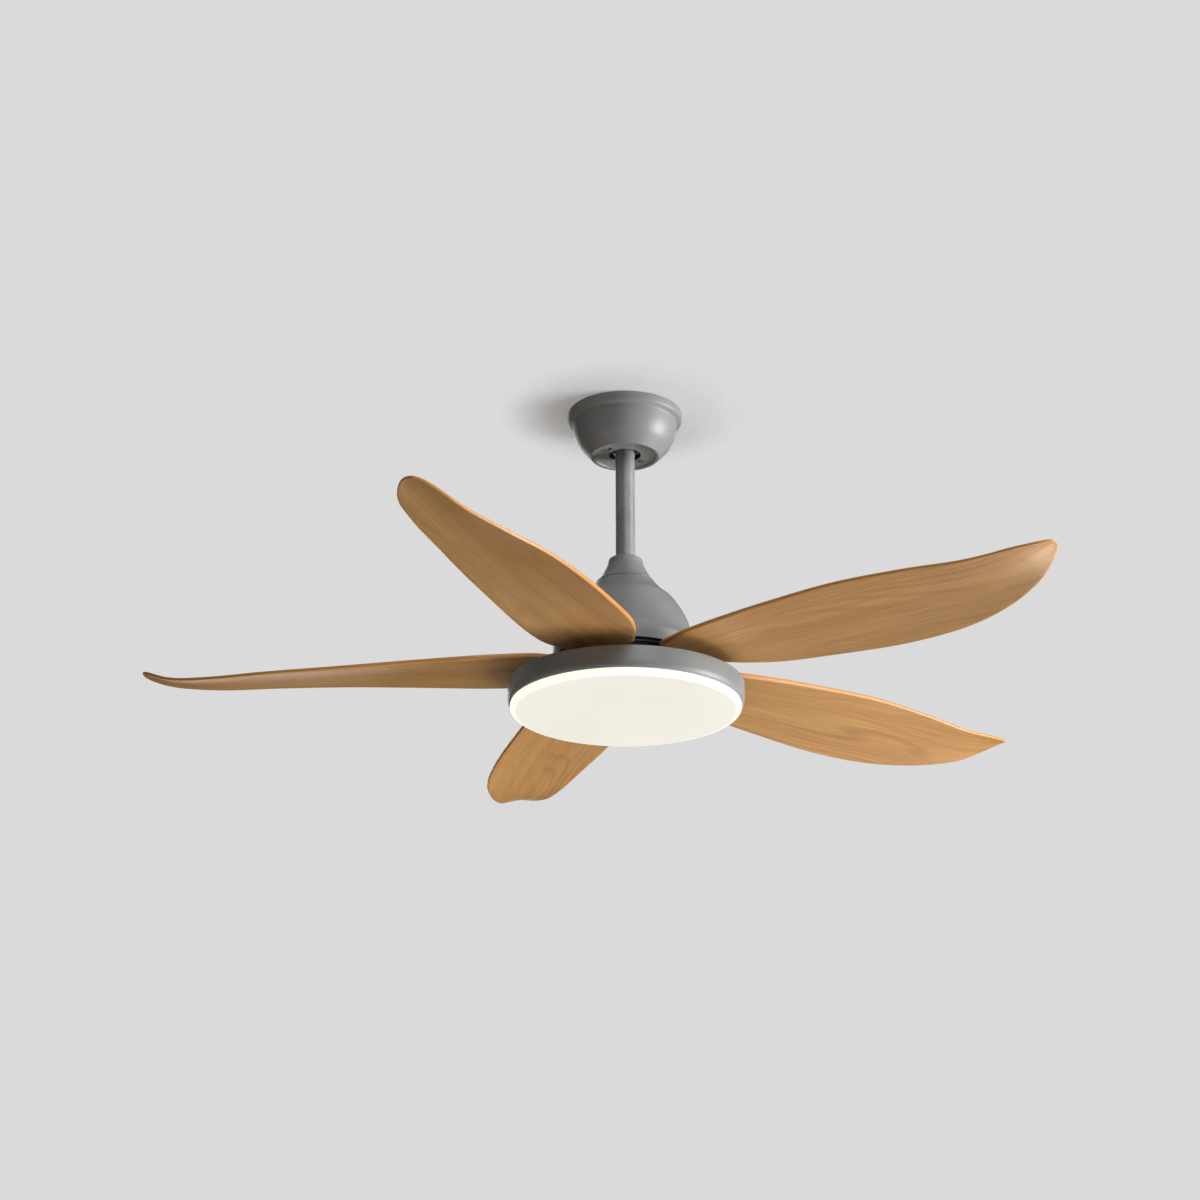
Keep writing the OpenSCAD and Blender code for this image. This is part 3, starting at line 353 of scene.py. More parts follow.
def place_group(graph: Graph, tree: bpy.types.NodeTree, **values: Any) -> bpy.types.Node:
    """Places a node group in a material with its own values.

    Args:
        graph: The material's graph.
        tree: The group.
        **values: Input values, with underscores for spaces in their names.

    Returns:
        The group node.
    """
    node = graph.add("ShaderNodeGroup", node_tree=tree)
    for name, value in values.items():
        graph.feed(node.inputs[name.replace("_", " ").title()], value)
    return node


def bump(graph: Graph, height: Any, strength: float, distance: float) -> bpy.types.NodeSocket:
    """Returns a normal bent by a height, with strength 0 to 1 and distance in metres."""
    values = {"Strength": strength, "Distance": distance, "Height": height}
    return graph.add("ShaderNodeBump", values).outputs[0]


@dataclass(frozen=True)
class PaintFinish:
    """A satin coat of paint or powder on metal."""

    name: str
    colour: Colour
    roughness: float = 0.42
    coat: float = 0.0
    worn: Colour = (0.5, 0.5, 0.5)

    @cache
    def material(self) -> bpy.types.Material:
        """Builds the material: soft clouds of tone, fine orange peel, dust and slightly rubbed edges."""
        material, graph, shader = new_material(self.name)
        mottle = place_group(graph, mottle_group(), cloud_scale=7.0, texture_scale=1400.0)
        darker = tuple(0.93 * part for part in self.colour)
        lighter = tuple(min(1.0, 1.05 * part) for part in self.colour)
        colour = graph.mix(mottle.outputs["Value"], darker, lighter)
        wear = place_group(graph, wear_group(), reach=0.57)
        colour = graph.mix(graph.math("MULTIPLY", wear.outputs[0], 0.25), colour, self.worn)
        dust = place_group(graph, dust_group(), amount=0.22)
        colour = graph.mix(dust.outputs[0], colour, (0.55, 0.53, 0.49))
        graph.feed(shader.inputs["Base Color"], colour)
        rough = graph.span(mottle.outputs["Value"], 0.0, 1.0, self.roughness - 0.03, self.roughness + 0.04)
        dulled = graph.math("ADD", rough, graph.math("MULTIPLY", dust.outputs[0], 0.3))
        graph.feed(shader.inputs["Roughness"], dulled)
        graph.feed(shader.inputs["Normal"], bump(graph, mottle.outputs["Height"], 0.12, 0.0002))
        shader.inputs["Coat Weight"].default_value = self.coat
        shader.inputs["Coat Roughness"].default_value = 0.25
        return material


@dataclass(frozen=True)
class MetalFinish:
    """Bare or plated metal with turned lines."""

    name: str
    colour: Colour
    roughness: float = 0.28
    stretch: tuple[float, float, float] = (60.0, 60.0, 1200.0)

    @cache
    def material(self) -> bpy.types.Material:
        """Builds the material: turned lines in the roughness and normal, darker clouds of age."""
        material, graph, shader = new_material(self.name)
        streaks = place_group(graph, streak_group(), stretch=self.stretch)
        mottle = place_group(graph, mottle_group(), cloud_scale=40.0)
        darker = tuple(0.75 * part for part in self.colour)
        graph.feed(shader.inputs["Base Color"], graph.mix(mottle.outputs["Value"], darker, self.colour))
        rough = graph.span(streaks.outputs["Value"], 0.0, 1.0, self.roughness - 0.08, self.roughness + 0.1)
        graph.feed(shader.inputs["Roughness"], rough)
        graph.feed(shader.inputs["Normal"], bump(graph, streaks.outputs["Height"], 0.25, 0.0001))
        shader.inputs["Metallic"].default_value = 1.0
        return material


@dataclass(frozen=True)
class PlasticFinish:
    """Moulded plastic, rubber or board with a fine texture."""

    name: str
    colour: Colour
    roughness: float = 0.45
    texture: float = 1600.0
    depth: float = 0.2

    @cache
    def material(self) -> bpy.types.Material:
        """Builds the material: a spark-eroded texture, soft clouds and paler rubbed edges."""
        material, graph, shader = new_material(self.name)
        mottle = place_group(graph, mottle_group(), cloud_scale=25.0, texture_scale=self.texture)
        wear = place_group(graph, wear_group(), reach=0.55)
        lighter = tuple(min(1.0, 1.25 * part + 0.01) for part in self.colour)
        colour = graph.mix(graph.math("MULTIPLY", mottle.outputs["Value"], 0.5), self.colour, lighter)
        rubbed = tuple(min(1.0, part + 0.12) for part in self.colour)
        colour = graph.mix(graph.math("MULTIPLY", wear.outputs[0], 0.4), colour, rubbed)
        graph.feed(shader.inputs["Base Color"], colour)
        rough = graph.span(mottle.outputs["Value"], 0.0, 1.0, self.roughness - 0.05, self.roughness + 0.05)
        graph.feed(shader.inputs["Roughness"], rough)
        graph.feed(shader.inputs["Normal"], bump(graph, mottle.outputs["Height"], self.depth, 0.0003))
        return material


@dataclass(frozen=True)
class WoodFinish:
    """Wood grain under a satin lacquer, with paler edges."""

    name: str
    light: Colour = srgb(197, 149, 90)
    middle: Colour = srgb(183, 134, 77)
    dark: Colour = srgb(128, 82, 38)
    edge: Colour = srgb(208, 144, 74)
    roughness: float = 0.42
    shift: tuple[float, float, float] = (0.0, 0.0, 0.0)
    turn: float = 0.0

    @cache
    def material(self) -> bpy.types.Material:
        """Builds the material: broad tone, figure, fibres and pores along the blade, and the rounded edge."""
        material, graph, shader = new_material(self.name)
        grain = place_group(graph, grain_group(), shift=self.shift, turn=self.turn)
        colour = graph.mix(grain.outputs["Tone"], self.middle, self.light)
        colour = graph.mix(graph.math("MULTIPLY", grain.outputs["Figure"], 0.34), colour, self.dark)
        colour = graph.mix(graph.math("MULTIPLY", grain.outputs["Fibre"], 0.30), colour, self.dark)
        colour = graph.mix(graph.math("MULTIPLY", grain.outputs["Pore"], 0.45), colour, self.dark)
        rim = graph.add("ShaderNodeAttribute", attribute_name="rim").outputs["Fac"]
        colour = graph.mix(graph.math("MULTIPLY", rim, 0.8), colour, self.edge)
        dust = place_group(graph, dust_group(), amount=0.10)
        colour = graph.mix(dust.outputs[0], colour, (0.6, 0.57, 0.52))
        graph.feed(shader.inputs["Base Color"], colour)
        rough = graph.span(grain.outputs["Fibre"], 0.0, 1.0, self.roughness - 0.04, self.roughness + 0.08)
        graph.feed(shader.inputs["Roughness"], rough)
        graph.feed(shader.inputs["Normal"], bump(graph, grain.outputs["Height"], 0.22, 0.0004))
        shader.inputs["Coat Weight"].default_value = 0.12
        shader.inputs["Coat Roughness"].default_value = 0.35
        return material


@dataclass(frozen=True)
class OpalFinish:
    """Opal plastic lit from inside: brighter on its rounded edge than on its face."""

    name: str
    face: Colour
    edge: Colour
    face_radius: float
    edge_radius: float
    strength: float = 1.0

    @cache
    def material(self) -> bpy.types.Material:
        """Builds the material, whose glow follows the distance from the axis."""
        material, graph, shader = new_material(self.name)
        place = graph.add("ShaderNodeTexCoord").outputs["Object"]
        parts = graph.add("ShaderNodeSeparateXYZ", {0: place})
        square = [graph.math("MULTIPLY", parts.outputs[i], parts.outputs[i]) for i in (0, 1)]
        radius = graph.math("SQRT", graph.math("ADD", *square))
        side = graph.span(radius, self.face_radius, self.edge_radius)
        mottle = place_group(graph, mottle_group(), cloud_scale=6.0, texture_scale=1800.0)
        glow = graph.mix(side, self.face, self.edge)
        glow = graph.mix(graph.math("MULTIPLY", mottle.outputs["Value"], 0.06), glow, (1.0, 0.97, 0.9))
        graph.feed(shader.inputs["Emission Color"], glow)
        body = graph.mix(mottle.outputs["Value"], (0.30, 0.29, 0.27), (0.33, 0.32, 0.30))
        graph.feed(shader.inputs["Base Color"], body)
        graph.feed(shader.inputs["Normal"], bump(graph, mottle.outputs["Height"], 0.05, 0.0002))
        shader.inputs["Emission Strength"].default_value = self.strength
        shader.inputs["Roughness"].default_value = 0.35
        return material


GREY_PAINT = PaintFinish("grey paint", (0.235, 0.244, 0.245), 0.40)
BLACK_PAINT = PaintFinish("black paint", (0.012, 0.012, 0.014), 0.42, worn=(0.08, 0.08, 0.085))
ZINC = MetalFinish("zinc plate", (0.60, 0.61, 0.64), 0.34)
# Near-black bracket finish: painted shade, so the keyhole slots and the inside of the canopy seen through
# them read dark
SHADE_BLACK_BRACKET = MetalFinish("bracket black as painted keyhole shade", (0.045, 0.045, 0.05), 0.42)
BRIGHT = MetalFinish("bright steel", (0.72, 0.72, 0.73), 0.16)
GROUND = MetalFinish("ground steel", (0.56, 0.57, 0.58), 0.14, (30.0, 30.0, 1600.0))
LAMINATION = MetalFinish("stacked laminations", (0.28, 0.28, 0.30), 0.45, (20.0, 20.0, 2400.0))
FERRITE = PlasticFinish("ferrite", (0.05, 0.05, 0.055), 0.55, 900.0)
COPPER = MetalFinish("enamelled wire", (0.72, 0.25, 0.08), 0.30, (30.0, 30.0, 1900.0))
BRASS = MetalFinish("turned brass", (0.78, 0.56, 0.22), 0.22)
NYLON = PlasticFinish("nylon", (0.78, 0.77, 0.71), 0.5)
BLACK_PLASTIC = PlasticFinish("black plastic", (0.022, 0.022, 0.024), 0.42)
WHITE_PLASTIC = PlasticFinish("white plastic", (0.74, 0.74, 0.71), 0.42)
RUBBER = PlasticFinish("rubber", (0.02, 0.02, 0.02), 0.7, 700.0, 0.4)
BOARD = PlasticFinish("green board", (0.015, 0.13, 0.05), 0.3, 2200.0)
LAMP_BOARD = PlasticFinish("lamp board", (0.82, 0.82, 0.79), 0.35, 2200.0)
PHOSPHOR = PlasticFinish("phosphor", (0.85, 0.66, 0.2), 0.4, 2500.0)
SLEEVE = PlasticFinish("lead sleeve", (0.03, 0.03, 0.03), 0.4, 1200.0)
EARTH = PaintFinish("green passivation", (0.03, 0.26, 0.08), 0.35)


# --- mesh builders ---------------------------------------------------------------------------------------


def new_object(name: str, verts: list, faces: list, sharp: float = 35.0) -> bpy.types.Object:
    """Makes a smooth-shaded mesh object, with edges sharper than an angle kept crisp.

    Args:
        name: The piece's name.
        verts: Vertex positions in metres.
        faces: Lists of vertex numbers.
        sharp: The angle in degrees over which an edge is crisp.

    Returns:
        The object, linked to the scene.
    """
    mesh = bpy.data.meshes.new(name)
    mesh.from_pydata(verts, [], faces)
    mesh.validate()
    mesh.shade_smooth()
    mesh.set_sharp_from_angle(angle=math.radians(sharp))
    piece = bpy.data.objects.new(name, mesh)
    bpy.context.scene.collection.objects.link(piece)
    return piece


def arc(
    centre: Point, radius: float, start: float, end: float, steps: int, squash: float = 1.0
) -> list[Point]:
    """Returns points on an arc in a profile, with angles in degrees and its height scaled by squash."""
    turns = [math.radians(start + (end - start) * i / steps) for i in range(steps + 1)]
    return [(centre[0] + radius * math.cos(t), centre[1] + radius * squash * math.sin(t)) for t in turns]


def bend(knots: Sequence[Sequence[float]], steps: int) -> list[tuple[float, ...]]:
    """Returns a smooth curve through rows of numbers.

    Args:
        knots: The rows that the curve passes through.
        steps: How many points each stretch gets.

    Returns:
        The curve's points, its last knot among them.
    """
    last = len(knots) - 1
    out = []
    for i in range(last):
        rows = [knots[max(i - 1, 0)], knots[i], knots[i + 1], knots[min(i + 2, last)]]
        for j in range(steps):
            t = j / steps
            out.append(tuple(
                0.5 * (
                    2 * b + (c - a) * t
                    + (2 * a - 5 * b + 4 * c - d) * t * t
                    + (3 * b - a - 3 * c + d) * t ** 3
                )
                for a, b, c, d in zip(*rows)
            ))
    return [*out, tuple(knots[last])]


def lathe(name: str, profile: Sequence[Point], steps: int = TURN_STEPS) -> bpy.types.Object:
    """Turns a closed profile round Z.

    Args:
        name: The piece's name.
        profile: Radius and height of each point, in millimetres, going round the section once.
        steps: Divisions round the axis.

    Returns:
        The turned object.
    """
    rings: list[list[int]] = []
    verts: list[tuple[float, float, float]] = []
    for radius, height in profile:
        z = height * MM
        if radius < 1e-6:
            verts.append((0.0, 0.0, z))
            rings.append([len(verts) - 1] * steps)
            continue
        first = len(verts)
        for k in range(steps):
            turn = math.tau * k / steps
            verts.append((radius * MM * math.cos(turn), radius * MM * math.sin(turn), z))
        rings.append(list(range(first, first + steps)))
    faces = []
    for lower, upper in zip(rings, [*rings[1:], rings[0]]):
        for k in range(steps):
            n = (k + 1) % steps
            corners = list(dict.fromkeys((lower[k], lower[n], upper[n], upper[k])))
            if len(corners) > 2:
                faces.append(corners)
    piece = new_object(name, verts, faces)
    recalculate(piece)
    return piece


def recalculate(piece: bpy.types.Object) -> None:
    """Turns every face of a piece to look outwards."""
    work = bmesh.new()
    work.from_mesh(piece.data)
    bmesh.ops.recalc_face_normals(work, faces=work.faces)
    work.to_mesh(piece.data)
    work.free()


def join(name: str, pieces: list[bpy.types.Object]) -> bpy.types.Object:
    """Joins pieces into one object under a name."""
    verts, faces = [], []
    for piece in pieces:
        start = len(verts)
        verts += [tuple(piece.matrix_world @ v.co) for v in piece.data.vertices]
        faces += [[start + v for v in polygon.vertices] for polygon in piece.data.polygons]
        bpy.data.objects.remove(piece)
    return new_object(name, verts, faces)


def cut(piece: bpy.types.Object, cutter: bpy.types.Object) -> None:
    """Cuts one closed solid out of another and removes the cutter."""
    modifier = piece.modifiers.new("cut", "BOOLEAN")
    modifier.operation, modifier.object, modifier.solver = "DIFFERENCE", cutter, "EXACT"
    depsgraph = bpy.context.evaluated_depsgraph_get()
    mesh = bpy.data.meshes.new_from_object(piece.evaluated_get(depsgraph))
    piece.modifiers.clear()
    piece.data = mesh
    mesh.shade_smooth()
    mesh.set_sharp_from_angle(angle=math.radians(35.0))
    bpy.data.objects.remove(cutter)


def dress(piece: bpy.types.Object, finish: Any) -> None:
    """Gives a new piece its finish."""
    piece.data.materials.clear()
    piece.data.materials.append(finish.material())


def dress_node(node: str, finish: Any) -> None:
    """Gives a carried-over node its finish, on the object's own slots."""
    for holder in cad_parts[node].material_slots:
        holder.link = "OBJECT"
        holder.material = finish.material()
    LOG.info("%s: %s", node, finish.name)


def settle(piece: bpy.types.Object, body: Body, slot: Slot, finish: Any, *nodes: str) -> None:
    """Finishes a new piece: its material, body and the nodes that it stands for.

    Args:
        piece: The piece, in place.
        body: The body it rides on.
        slot: The record's material slot; not used.
        finish: Its finish.
        *nodes: Carried-over nodes that it replaces.
    """
    dress(piece, finish)
    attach(piece, body.value)
    if nodes:
        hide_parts(*nodes)
    LOG.info("%s: %d faces on %s", piece.name, len(piece.data.polygons), body.value)


# --- sub-assemblies --------------------------------------------------------------------------------------


@dataclass
class CeilingMount:
    """Bracket, receiver and canopy at the ceiling."""

    rim: float = 80.5
    band: float = 13.0
    wall: float = 1.2
    lip: float = 48.5
    hole: float = 22.0
    lip_depth: float = 64.0
    recess: float = 2.5
    key_radius: float = 30.0
    key_angle: float = 36.0
    finishes: dict[str, Any] = field(default_factory=lambda: {
        # The bracket is near-black as painted shade seen through the keyholes
        "hanger_bracket": SHADE_BLACK_BRACKET, "canopy_screws": BRIGHT,
        "receiver_case": BLACK_PLASTIC, "receiver_lid": BLACK_PLASTIC,
        "receiver_board": BOARD, "receiver_antenna": SLEEVE,
        "terminal_block": NYLON, "terminal_screws": BRASS,
        "ground_screw": EARTH,
    })

    def canopy_profile(self) -> list[Point]:
        """Returns the canopy's closed section: rim band, soft step, bowl, lip and recessed floor."""
        foot = -self.lip_depth
        corner = arc((self.rim - 0.8, -0.8), 0.8, 90, 0, 4)[1:]
        band = [(self.rim - 0.6, 0.0), *corner, (self.rim - 0.2, -self.band * 0.6)]
        step = arc((self.rim - 4.6, 4.4 - self.band), 4.0, -4, -62, 10)
        bowl = bend([
            (self.rim - 3.9, 0.1 - self.band), (self.rim - 5.9, -1.2 - self.band),
            (self.rim - 7.6, -3.6 - self.band), (self.rim - 9.4, -28), (self.rim - 12.5, -38),
            (self.lip + 14, foot + 15.5), (self.lip + 6, foot + 6.5), (self.lip + 0.7, foot + 1.4),
        ], 10)
        outer = [*band, *step, *bowl]
        inner = [(r - self.wall, z) for r, z in outer if z < -self.band - 1.5]
        lip = arc((self.lip - 1.0, foot + 1.2), 1.2, -20, -90, 5)
        floor = foot + self.recess
        inside = [
            (self.lip - 4.6, foot), (self.lip - 5.4, foot + 0.5), (self.lip - 6.2, floor - 0.4),
            (self.lip - 7.0, floor), (self.hole + 0.5, floor), (self.hole, floor + 0.5),
            (self.hole, floor + self.wall), (self.lip - 5.6, floor + self.wall),
            (self.lip - 4.4, foot + self.wall), (self.lip - 1.4, foot + self.wall),
        ]
        top = [
            (self.rim - 7.0 - self.wall, 1.7 - self.band), (self.rim - 3.0, 1.4 - self.band),
            (self.rim - 2.0, 0.0),
        ]
        return [*outer, *lip, *inside, *reversed(inner), *top]

    def keyhole(self, angle: float) -> bpy.types.Object:
        """Returns a solid that cuts one keyhole slot through the canopy's floor.

        Args:
            angle: The screw's place round the axis, in degrees.

        Returns:
            The cutter.
        """
        lobes = []
        for turn in [i * 15 / 14 for i in range(15)]:
            place = math.radians(angle + turn)
            lobes.append((place, 2.5 if turn < 10.5 else 4.4))
        outline = []
        for place, half in lobes:
            far = self.key_radius + half
            outline.append((far * math.cos(place), far * math.sin(place)))
        for place, half in reversed(lobes):
            near = self.key_radius - half
            outline.append((near * math.cos(place), near * math.sin(place)))
        return prism("keyhole", outline, -self.lip_depth - 2, -self.lip_depth + 8)

    def build(self) -> bpy.types.Object:
        """Builds the canopy, with its two keyhole slots."""
        canopy = lathe("canopy_shell", self.canopy_profile())
        for angle in (self.key_angle, self.key_angle + 180):
            cut(canopy, self.keyhole(angle))
        return canopy

    def dress(self) -> None:
        """Builds and finishes everything on the ceiling body."""
        settle(self.build(), Body.CEILING, Slot.PAINT, GREY_PAINT, "canopy")
        for node, finish in self.finishes.items():
            dress_node(node, finish)


def prism(name: str, outline: Sequence[Point], low: float, high: float) -> bpy.types.Object:
    """Returns an upright solid on an outline.

    Args:
        name: The piece's name.
        outline: Its corners in millimetres.
        low: Its lower height in millimetres.
        high: Its upper height in millimetres.

    Returns:
        The solid.
    """
    count = len(outline)
    verts = [(x * MM, y * MM, z * MM) for z in (low, high) for x, y in outline]
    faces = [list(range(count)), list(range(count, 2 * count))]
    faces += [[i, (i + 1) % count, count + (i + 1) % count, count + i] for i in range(count)]
    piece = new_object(name, verts, faces)
    recalculate(piece)
    return piece


@dataclass
class Hanger:
    """Ball joint, downrod, coupling and the leads through them."""

    finishes: dict[str, Any] = field(default_factory=lambda: {
        "hanger_liner": NYLON, "hanger_ball": BLACK_PLASTIC, "hanger_pin": BRIGHT, "ball_set_screw": BRIGHT,
        "downrod": GREY_PAINT, "rod_leads": SLEEVE, "rod_coupling": ZINC, "coupling_pin": BRIGHT,
        "cotter_pin": BRIGHT, "coupling_set_screws": BRIGHT, "hanger_leads": SLEEVE,
    })

    def dress(self) -> None:
        """Finishes the pieces of the ball joint and the rod."""
        for node, finish in self.finishes.items():
            dress_node(node, finish)


@dataclass
class MotorCovers:
    """Bell over the motor and the cover round the rod's foot."""

    wall: float = 1.5
    seam_gap: float = 0.35

    def __post_init__(self) -> None:
        """Takes heights and radii from the frame."""
        low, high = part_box("motor_cover")
        _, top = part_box("neck_cover")
        _, rod_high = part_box("downrod")
        self.foot, self.seam, self.top = low[2] / MM, high[2] / MM, top[2] / MM
        self.radius = high[0] / MM
        self.rod = rod_high[0] / MM

    def bell_profile(self) -> list[Point]:
        """Returns the bell's closed section, from its rolled foot up to the seam."""
        r, z, seam = self.radius, self.foot, self.seam
        line = bend([
            (r, z + 1.2), (r, z + 17), (r - 5.5, z + 28), (r - 11, z + 43),
            (r - 16.5, z + 58), (r - 24.5, z + 73),
            (r - 35.5, seam - 25), (56, seam - 18), (48, seam - 10), (44, seam - 5), (40.6, seam - 0.9),
        ], 8)
        foot = arc((r - 0.75, z + 0.75), 0.75, -90, 0, 4)
        crest = [(40.0, seam - 0.2), (39.4, seam)]
        inner = [(rr - self.wall, zz) for rr, zz in line if zz < seam - 2]
        return [*foot, *line, *crest, (38.6, seam), (38.6, seam - 3), *reversed(inner), (r - self.wall, z)]

    def neck_profile(self) -> list[Point]:
        """Returns the neck cover's closed section, from the seam up to its shoulder round the rod."""
        seam, top, rod = self.seam + self.seam_gap, self.top, self.rod
        line = bend([
            (39.9, seam + 0.6), (35.5, seam + 5.5), (30.0, top - 21.9), (25.4, top - 11.9),
            (24.1, top - 6.4),
            (23.4, top - 3.9), (21.6, top - 1.9), (18.6, top - 0.9), (rod + 1.0, top - 0.1),
        ], 8)
        inner = [(rr - self.wall, zz) for rr, zz in line if zz < top - 5]
        head = [(rod + 0.35, top - 0.2), (rod + 0.35, top - 1.6), (18.0, top - 2.8), (20.8, top - 4.4)]
        return [(39.0, seam), (39.7, seam + 0.15), *line, *head, *reversed(inner), (36.8, seam)]

    def build(self) -> list[tuple[bpy.types.Object, str]]:
        """Returns the two covers, each with the node that it stands for."""
        return [
            (lathe("bell_shell", self.bell_profile()), "motor_cover"),
            (lathe("neck_shell", self.neck_profile()), "neck_cover"),
        ]

    def dress(self) -> None:
        """Builds and finishes the covers."""
        for piece, node in self.build():
            settle(piece, Body.FAN, Slot.PAINT, GREY_PAINT, node)
        dress_node("cover_screws", BRIGHT)


@dataclass
class Motor:
    """Shaft, stator, rotor and bearings."""

    finishes: dict[str, Any] = field(default_factory=lambda: {
        "motor_shaft": BRIGHT, "stator_core": LAMINATION,
        "stator_windings": COPPER, "upper_bearing_inner": GROUND,
        "lower_bearing_inner": GROUND, "upper_bearing_outer": GROUND, "lower_bearing_outer": GROUND,
        "upper_bearing_balls": GROUND, "lower_bearing_balls": GROUND, "retaining_rings": BRIGHT,
        "shaft_spacer": ZINC, "shaft_nut": ZINC,
        "rotor_top_shell": BLACK_PAINT, "rotor_bottom_shell": BLACK_PAINT,
        "rotor_back_iron": ZINC, "rotor_magnets": FERRITE,
        "shell_screws": BRIGHT, "blade_flange": BLACK_PAINT,
        "flange_screws": BRIGHT,
    })

    def dress(self) -> None:
        """Finishes the motor's pieces."""
        for node, finish in self.finishes.items():
            dress_node(node, finish)


@dataclass
class BladeSet:
    """Five swept blades with rounded edges and upturned tips."""

    tip: float = 664.6
    root: float = 60.0
    span_start: float = 100.0
    thick: float = 7.0
    thin: float = 3.5
    camber: float = 3.0
    tip_round: float = 55.0
    first: float = -40.0
    count: int = 5
    edge_steps: int = 12
    face_steps: int = 20
    squareness: float = 2.6
    root_rows: tuple[Row, ...] = (
        (60, 0, 24, 0, 0), (78, 0, 27, 0, 0), (90, 0.5, 41, 0, 0), (100, 2, 49, 0, 0),
    )
    span_rows: tuple[Row, ...] = (
        (0.035, 3, 57, -0.8, 0), (0.09, 5, 68, -3.5, 4), (0.18, 9.5, 77, -6, 12), (0.32, 13.5, 81, -8, 22),
        (0.5, 18, 82, -11, 32), (0.67, 20, 73.5, -14, 31.5), (0.81, 14, 56.5, -15, 23.5),
        (0.92, 4, 39, -8.5, 14.5), (0.998, -1.5, 29, 6, 0),
    )

    def __post_init__(self) -> None:
        """Takes the height of the blades' roots from the pads above them."""
        self.root_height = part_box("blade_pads")[0][2] / MM - self.thick / 2

    def stations(self) -> list[Row]:
        """Returns the blade's rows, close together where the tip rounds off."""
        span = self.tip - self.span_start
        rows = [*self.root_rows, *((self.span_start + u * span, *rest) for u, *rest in self.span_rows)]
        dense = bend(rows, 40)
        straight = self.tip - self.tip_round
        places = [self.root + (straight - self.root) * i / 130 for i in range(130)]
        places += [straight + self.tip_round * math.sin(math.radians(89.0 * i / 44)) for i in range(45)]
        out = []
        for x in places:
            x = min(x, dense[-1][0])
            after = next(i for i in range(1, len(dense)) if dense[i][0] >= x - 1e-9)
            low, high = dense[after - 1], dense[after]
            share = (x - low[0]) / (high[0] - low[0])
            row = [a + (b - a) * share for a, b in zip(low, high)]
            closing = math.sqrt(max(1e-4, 1 - max(0.0, (x - straight) / self.tip_round) ** 2))
            out.append((x, row[1], row[2] * closing, row[3], row[4] * closing))
        return out

    def section(self, row: Row) -> list[tuple[float, float, float, float]]:
        """Returns one section of the blade: position and how much each point belongs to the rim.

        Args:
            row: Place, middle, half chord, height and rise.

        Returns:
            Points round the section, each x, y, z in millimetres and the rim's share.
        """
        place, middle, half, height, rise = row
        share = max(0.0, (place - self.span_start) / (self.tip - self.span_start))
        slope = math.atan2(rise / 2, half)
        reach = half / math.cos(slope)
        edge = min((self.thick + (self.thin - self.thick) * share) / 2, reach * 0.9)
        flat = reach - edge
        arch = self.camber * min(1.0, 4 * share) * min(1.0, reach / 40)

        def rounded(turn: float) -> Point:
            """Returns a point of the square-shouldered edge at an angle."""
            c, s = math.cos(turn), math.sin(turn)
            power = 2 / self.squareness
            return math.copysign(abs(c) ** power, c) * edge, math.copysign(abs(s) ** power, s) * edge

        local: list[tuple[float, float, float]] = []
        steps, faces = self.edge_steps, self.face_steps
        for i in range(steps + 1):
            u, v = rounded(math.pi / 2 - math.pi * i / steps)
            local.append((flat + u, v, 0.0 if i in (0, steps) else 1.0))
        for i in range(1, faces):
            s = 1 - 2 * i / faces
            local.append((flat * s, -edge + arch * (1 - s * s), 0.0))
        for i in range(steps + 1):
            u, v = rounded(-math.pi / 2 - math.pi * i / steps)
            local.append((-flat + u, v, 0.0 if i in (0, steps) else 1.0))
        for i in range(1, faces):
            s = -1 + 2 * i / faces
            local.append((flat * s, edge + arch * (1 - s * s), 0.0))
        cos, sin = math.cos(slope), math.sin(slope)
        return [(place, middle + a * cos + b * sin, height - a * sin + b * cos, rim) for a, b, rim in local]

    def build(self, number: int) -> bpy.types.Object:
        """Builds one blade in its own frame and turns it to its place.

        Args:
            number: The blade's number, from 1.

        Returns:
            The blade.
        """
        rings = [self.section(row) for row in self.stations()]
        size = len(rings[0])
        verts = [(x * MM, y * MM, z * MM) for ring in rings for x, y, z, _ in ring]
        faces = [
            [i * size + j, i * size + (j + 1) % size, (i + 1) * size + (j + 1) % size, (i + 1) * size + j]
            for i in range(len(rings) - 1) for j in range(size)
        ]
        faces += [list(range(size - 1, -1, -1)), [(len(rings) - 1) * size + j for j in range(size)]]
        turn = Matrix.Rotation(math.radians(self.azimuth(number)), 4, "Z")
        verts = [tuple(turn @ Vector((x, y, z + self.root_height * MM))) for x, y, z in verts]
        blade = new_object(f"blade_{number}_board", verts, faces, 50.0)
        rim = blade.data.attributes.new("rim", "FLOAT", "POINT")
        for i, value in enumerate(share for ring in rings for *_, share in ring):
            rim.data[i].value = value
        recalculate(blade)
        return blade

    def azimuth(self, number: int) -> float:
        """Returns the direction of a blade in degrees."""
        return self.first + (number - 1) * 360 / self.count

    def dress(self) -> None:
        """Builds and finishes the five blades, each cut from its own stretch of grain."""
        for number in range(1, self.count + 1):
            shift = (0.9 * number, 0.37 * number, 0.21 * number)
            turn = math.radians(self.azimuth(number))
            finish = WoodFinish(f"blade wood {number}", shift=shift, turn=turn)
            settle(self.build(number), Body.ROTOR, Slot.WOOD, finish, f"blade_{number}")
        dress_node("blade_pads", RUBBER)
        dress_node("blade_screws", BRIGHT)


